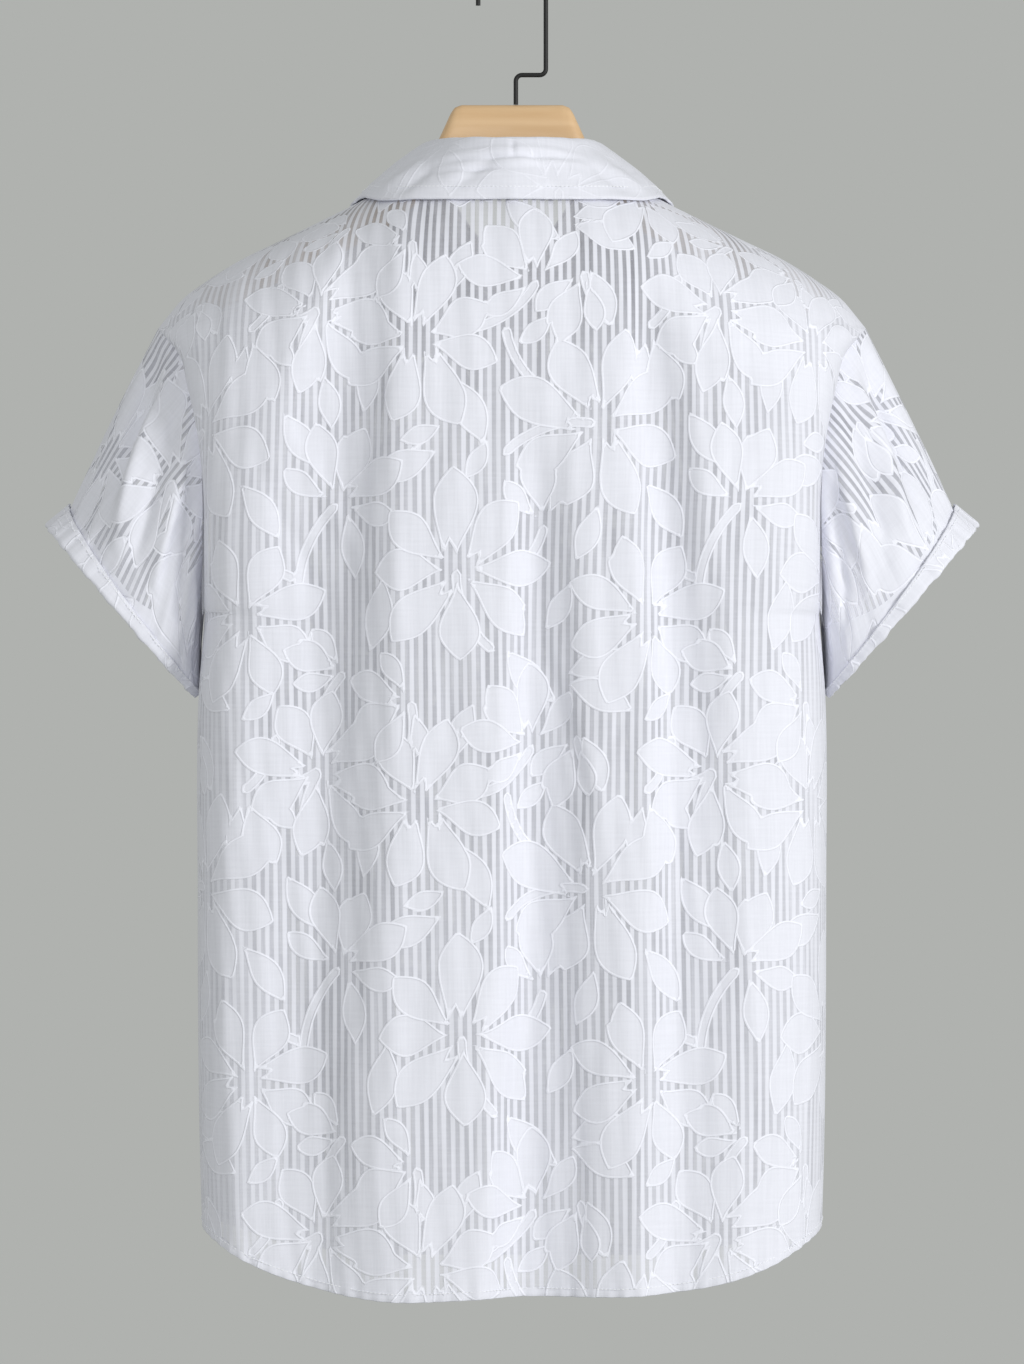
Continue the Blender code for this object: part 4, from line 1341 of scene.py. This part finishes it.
class SHIRT_OT_collar(bpy.types.Operator):
    """Build the collar's stand and its fall"""

    bl_idname = "shirt.collar"
    bl_label = "Collar"

    def execute(self, context):
        settings = context.scene.shirt
        material = jacquard_finish("White double jacquard", settings, True)
        share = np.linspace(0.0, 1.0, COLLAR_COLUMNS)
        left, right = fall_half(share, 1.0), fall_half(share, -1.0)
        fall = np.concatenate((left[:, ::-1], right[:, 1:]), axis=1)[::-1]
        reach = math.pi + math.asin(LAP / NECK_HALF)
        turn = np.linspace(reach, -reach, STAND_COLUMNS)
        low, high = neck_ring(turn) + stand_lap(turn), stand_top(turn) + stand_lap(turn)
        low = low + unit(high - low) * 0.0006
        stand = low + (high - low) * np.linspace(0.0, 1.0, 12)[:, None, None]
        for name, points in (("collar", fall), ("collar_stand", stand)):
            flat = unrolled(points, points.shape[1] // 2, 0)
            creases = COLLAR_CREASES if name == "collar" else ()
            ripple = (0.0003, 0.06, 0.02)
            piece = cloth_piece(name, points, flat, material, ripple, (30.0, 60.0), creases=creases)
            thick = piece.modifiers.new("Cloth", "SOLIDIFY")
            thick.thickness = COLLAR_THICKNESS
            thick.offset = 0.0
            body = declare(plain_mesh(piece), "collar_cloth", name)
            normals = grid_normals(points)
            rows = (5,) if name == "collar" else (1, 10)
            lines = [points[r] + normals[r] * (COLLAR_THICKNESS / 2 + 0.0002) for r in rows]
            stitches(name + "_stitches", lines, settings)
        return {"FINISHED"}


def circle(spline, radius, x, y):
    """Make a curve's spline a round of eight smooth points."""
    spline.bezier_points.add(7)
    for i, point in enumerate(spline.bezier_points):
        angle = i * math.pi / 4
        point.co = (x + radius * math.cos(angle), y + radius * math.sin(angle), 0.0)
        point.handle_left_type = point.handle_right_type = "AUTO"
    spline.use_cyclic_u = True


def button_mesh(material):
    """A flat round button with four holes."""
    curve = bpy.data.curves.new("button", "CURVE")
    curve.dimensions = "2D"
    curve.fill_mode = "BOTH"
    bevel = BUTTON_HEIGHT * 0.3
    curve.extrude = BUTTON_HEIGHT / 2 - bevel
    curve.bevel_depth = bevel
    curve.bevel_resolution = 3
    curve.resolution_u = 4
    circle(curve.splines.new("BEZIER"), BUTTON_RADIUS - bevel, 0.0, 0.0)
    for i in range(4):
        angle = math.pi / 4 + i * math.pi / 2
        circle(
            curve.splines.new("BEZIER"),
            HOLE_RADIUS + bevel * 0.4,
            HOLE_SPREAD * 0.7 * math.cos(angle),
            HOLE_SPREAD * 0.7 * math.sin(angle),
        )
    curve.materials.append(material)
    return curve


class SHIRT_OT_buttons(bpy.types.Operator):
    """Build the buttons in the places of their solids"""

    bl_idname = "shirt.buttons"
    bl_label = "Buttons"

    def execute(self, context):
        # Moulded polyester: smooth and glossy, a little warmer than the cloth
        shell, _, shader = finish("Pearly white button", context.scene.shirt.button_colour, 0.22)
        shader.inputs["Coat Weight"].default_value = 0.5
        for i in range(1, 8):
            node = f"button_{i}"
            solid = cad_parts[node].data
            points = np.array([v.co for v in solid.vertices])
            centre = points.mean(0)
            spread = np.linalg.svd(points - centre)[2][2]
            normal = spread if spread[1] < 0 else -spread
            side = unit(np.cross(normal, (0.0, 0.0, 1.0)))
            up = np.cross(side, normal)
            piece = plain_mesh(link(node + "_round", button_mesh(shell)))
            local = np.array([v.co for v in piece.data.vertices])
            placed = centre + local @ np.array((-side, up, normal))
            piece.data.vertices.foreach_set("co", placed.ravel().astype(np.float32))
            piece.data.shade_smooth()
            declare(piece, "button", node)
        return {"FINISHED"}


class SHIRT_OT_hanger(bpy.types.Operator):
    """Build the wooden hanger and its wire hook"""

    bl_idname = "shirt.hanger"
    bl_label = "Hanger"

    def execute(self, context):
        table = []
        for x, top, bottom, half in HANGER_SECTIONS:
            top = float(ridge_z(x)) - CLOTH / 2 - HANGER_CLEAR if top is None else top
            table.append((x, top, bottom, half))
        at = np.linspace(0.0, 0.206, 140)
        at = np.concatenate((-at[:0:-1], at))
        sides = 40
        angle = np.linspace(0.0, 2 * math.pi, sides, endpoint=False)
        keys, far = [row[0] for row in table], np.abs(at)
        top, bottom, half = (np.interp(far, keys, [row[c] for row in table])[:, None] for c in (1, 2, 3))
        c, s = np.cos(angle), np.sin(angle)
        y = half * np.copysign(np.abs(c) ** (2 / HANGER_POWER), c)
        z = (top + bottom) / 2 + (top - bottom) / 2 * np.copysign(np.abs(s) ** (2 / HANGER_POWER), s)
        points = stack(at[:, None], y, z)
        index = np.arange(points.shape[0] * sides).reshape(-1, sides)
        after = np.roll(index, -1, axis=1)
        faces = np.stack((index[:-1], after[:-1], after[1:], index[1:]), axis=-1).reshape(-1, 4).tolist()
        faces += [index[0][::-1].tolist(), index[-1].tolist()]
        mesh = bpy.data.meshes.new("hanger_wood")
        mesh.from_pydata(points.reshape(-1, 3).tolist(), [], faces)
        mesh.materials.append(wood_finish(context.scene.shirt))
        mesh.shade_smooth()
        declare(link("hanger_wood", mesh), "wood", "hanger")
        self.hook(context.scene.shirt.wire_colour)
        return {"FINISHED"}

    def hook(self, colour):
        """A stem, a jog to one side, and the bend over the rail, in lacquered wire."""

        def arc(x, z, radius, start, end, steps):
            turns = np.radians(np.linspace(start, end, steps + 1))
            return list(stack(x + radius * np.cos(turns), 0.0, z + radius * np.sin(turns)))

        side = -HOOK_RADIUS
        path = [np.array((HOOK_STEM_X, 0.0, WOOD_TOP_Z + 0.0003))]
        path += arc(HOOK_STEM_X - HOOK_FILLET, HOOK_JOG_Z - HOOK_FILLET, HOOK_FILLET, 0, 90, 10)
        path += arc(side + HOOK_FILLET, HOOK_JOG_Z + HOOK_FILLET, HOOK_FILLET, 270, 180, 10)
        path += arc(0.0, WIRE_RADIUS - HOOK_RADIUS, HOOK_RADIUS, 180, 0, 64)
        path.append(np.array((HOOK_RADIUS, 0.0, HOOK_TIP_Z)))
        piece = polyline("hook_wire", [np.array(path)])
        piece.data.bevel_depth = WIRE_RADIUS
        piece.data.bevel_resolution = 6
        piece.data.use_fill_caps = True
        # Drawn steel wire under black lacquer: deep black with a soft gloss
        piece.data.materials.append(finish("Black lacquered wire", colour, 0.55)[0])
        piece = plain_mesh(piece)
        piece.data.shade_smooth()
        declare(piece, "wire", "hook")


class SHIRT_OT_stage(bpy.types.Operator):
    """Set up the camera, the lights, the floor and the plain surroundings"""

    bl_idname = "shirt.stage"
    bl_label = "Stage"

    CAMERA_DISTANCE = 4.5
    CAMERA_Z = -0.4667
    FRAME_HEIGHT = 0.8866
    SENSOR = 36.0
    FLOOR_Z = -1.30

    def execute(self, context):
        scene = context.scene
        lens = bpy.data.cameras.new("camera")
        lens.sensor_width = self.SENSOR
        lens.lens = self.SENSOR * self.CAMERA_DISTANCE / self.FRAME_HEIGHT
        camera = link("camera", lens)
        camera.location = (0.0, self.CAMERA_DISTANCE, self.CAMERA_Z)
        camera.rotation_euler = (math.pi / 2, 0.0, math.pi)
        scene.camera = camera
        self.light("key", (-3.35, 2.85, 0.3), 1.2, 111.0)
        self.light("fill", (1.3, 4.2, 0.2), 2.6, 42.0)
        bpy.ops.mesh.primitive_plane_add(size=5.0, location=(0.0, 0.0, self.FLOOR_Z))
        floor = context.object
        floor.name = "floor"
        # Plain painted board: matt and even
        floor.data.materials.append(finish("Pale floor", linear("#BFC0BE"), 0.9)[0])
        floor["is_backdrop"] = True
        world = bpy.data.worlds.new("plain grey")
        scene.world = world
        world.use_nodes = True
        world.node_tree.nodes["Background"].inputs["Color"].default_value = linear("#B0B2AF")
        scene.view_settings.view_transform = "Standard"
        return {"FINISHED"}

    def light(self, name, place, size, power):
        data = bpy.data.lights.new(name, "AREA")
        data.size = size
        data.energy = power
        lamp = link(name, data)
        lamp.location = place
        aim = np.array((0.0, 0.0, -0.47)) - place
        level = math.hypot(aim[0], aim[1])
        lamp.rotation_euler = (math.atan2(level, -aim[2]), 0.0, math.atan2(aim[1], aim[0]) - math.pi / 2)


class SHIRT_PT_panel(bpy.types.Panel):
    """Settings and steps of the shirt"""

    bl_idname = "SHIRT_PT_panel"
    bl_label = "Jacquard Shirt"
    bl_space_type = "VIEW_3D"
    bl_region_type = "UI"
    bl_category = "Shirt"

    def draw(self, context):
        for name in ShirtSettings.__annotations__:
            self.layout.prop(context.scene.shirt, name)
        for step in STEPS:
            self.layout.operator(step.bl_idname)


STEPS = (SHIRT_OT_body, SHIRT_OT_sleeves, SHIRT_OT_collar, SHIRT_OT_buttons, SHIRT_OT_hanger, SHIRT_OT_stage)
CLASSES = (ShirtSettings, *STEPS, SHIRT_PT_panel)


def register():
    for item in CLASSES:
        bpy.utils.register_class(item)
    bpy.types.Scene.shirt = bpy.props.PointerProperty(type=ShirtSettings)


def unregister():
    del bpy.types.Scene.shirt
    for item in reversed(CLASSES):
        bpy.utils.unregister_class(item)


def size_lines(label):
    low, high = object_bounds()
    return {label: [[round(v, 5) for v in low], [round(v, 5) for v in high]]}


def main():
    sizes = size_lines("frame")
    register()
    bpy.ops.shirt.body()
    bpy.ops.shirt.sleeves()
    bpy.ops.shirt.collar()
    bpy.ops.shirt.buttons()
    bpy.ops.shirt.hanger()
    bpy.ops.shirt.stage()
    sizes.update(size_lines("scene"))


if __name__ == "__main__":
    main()
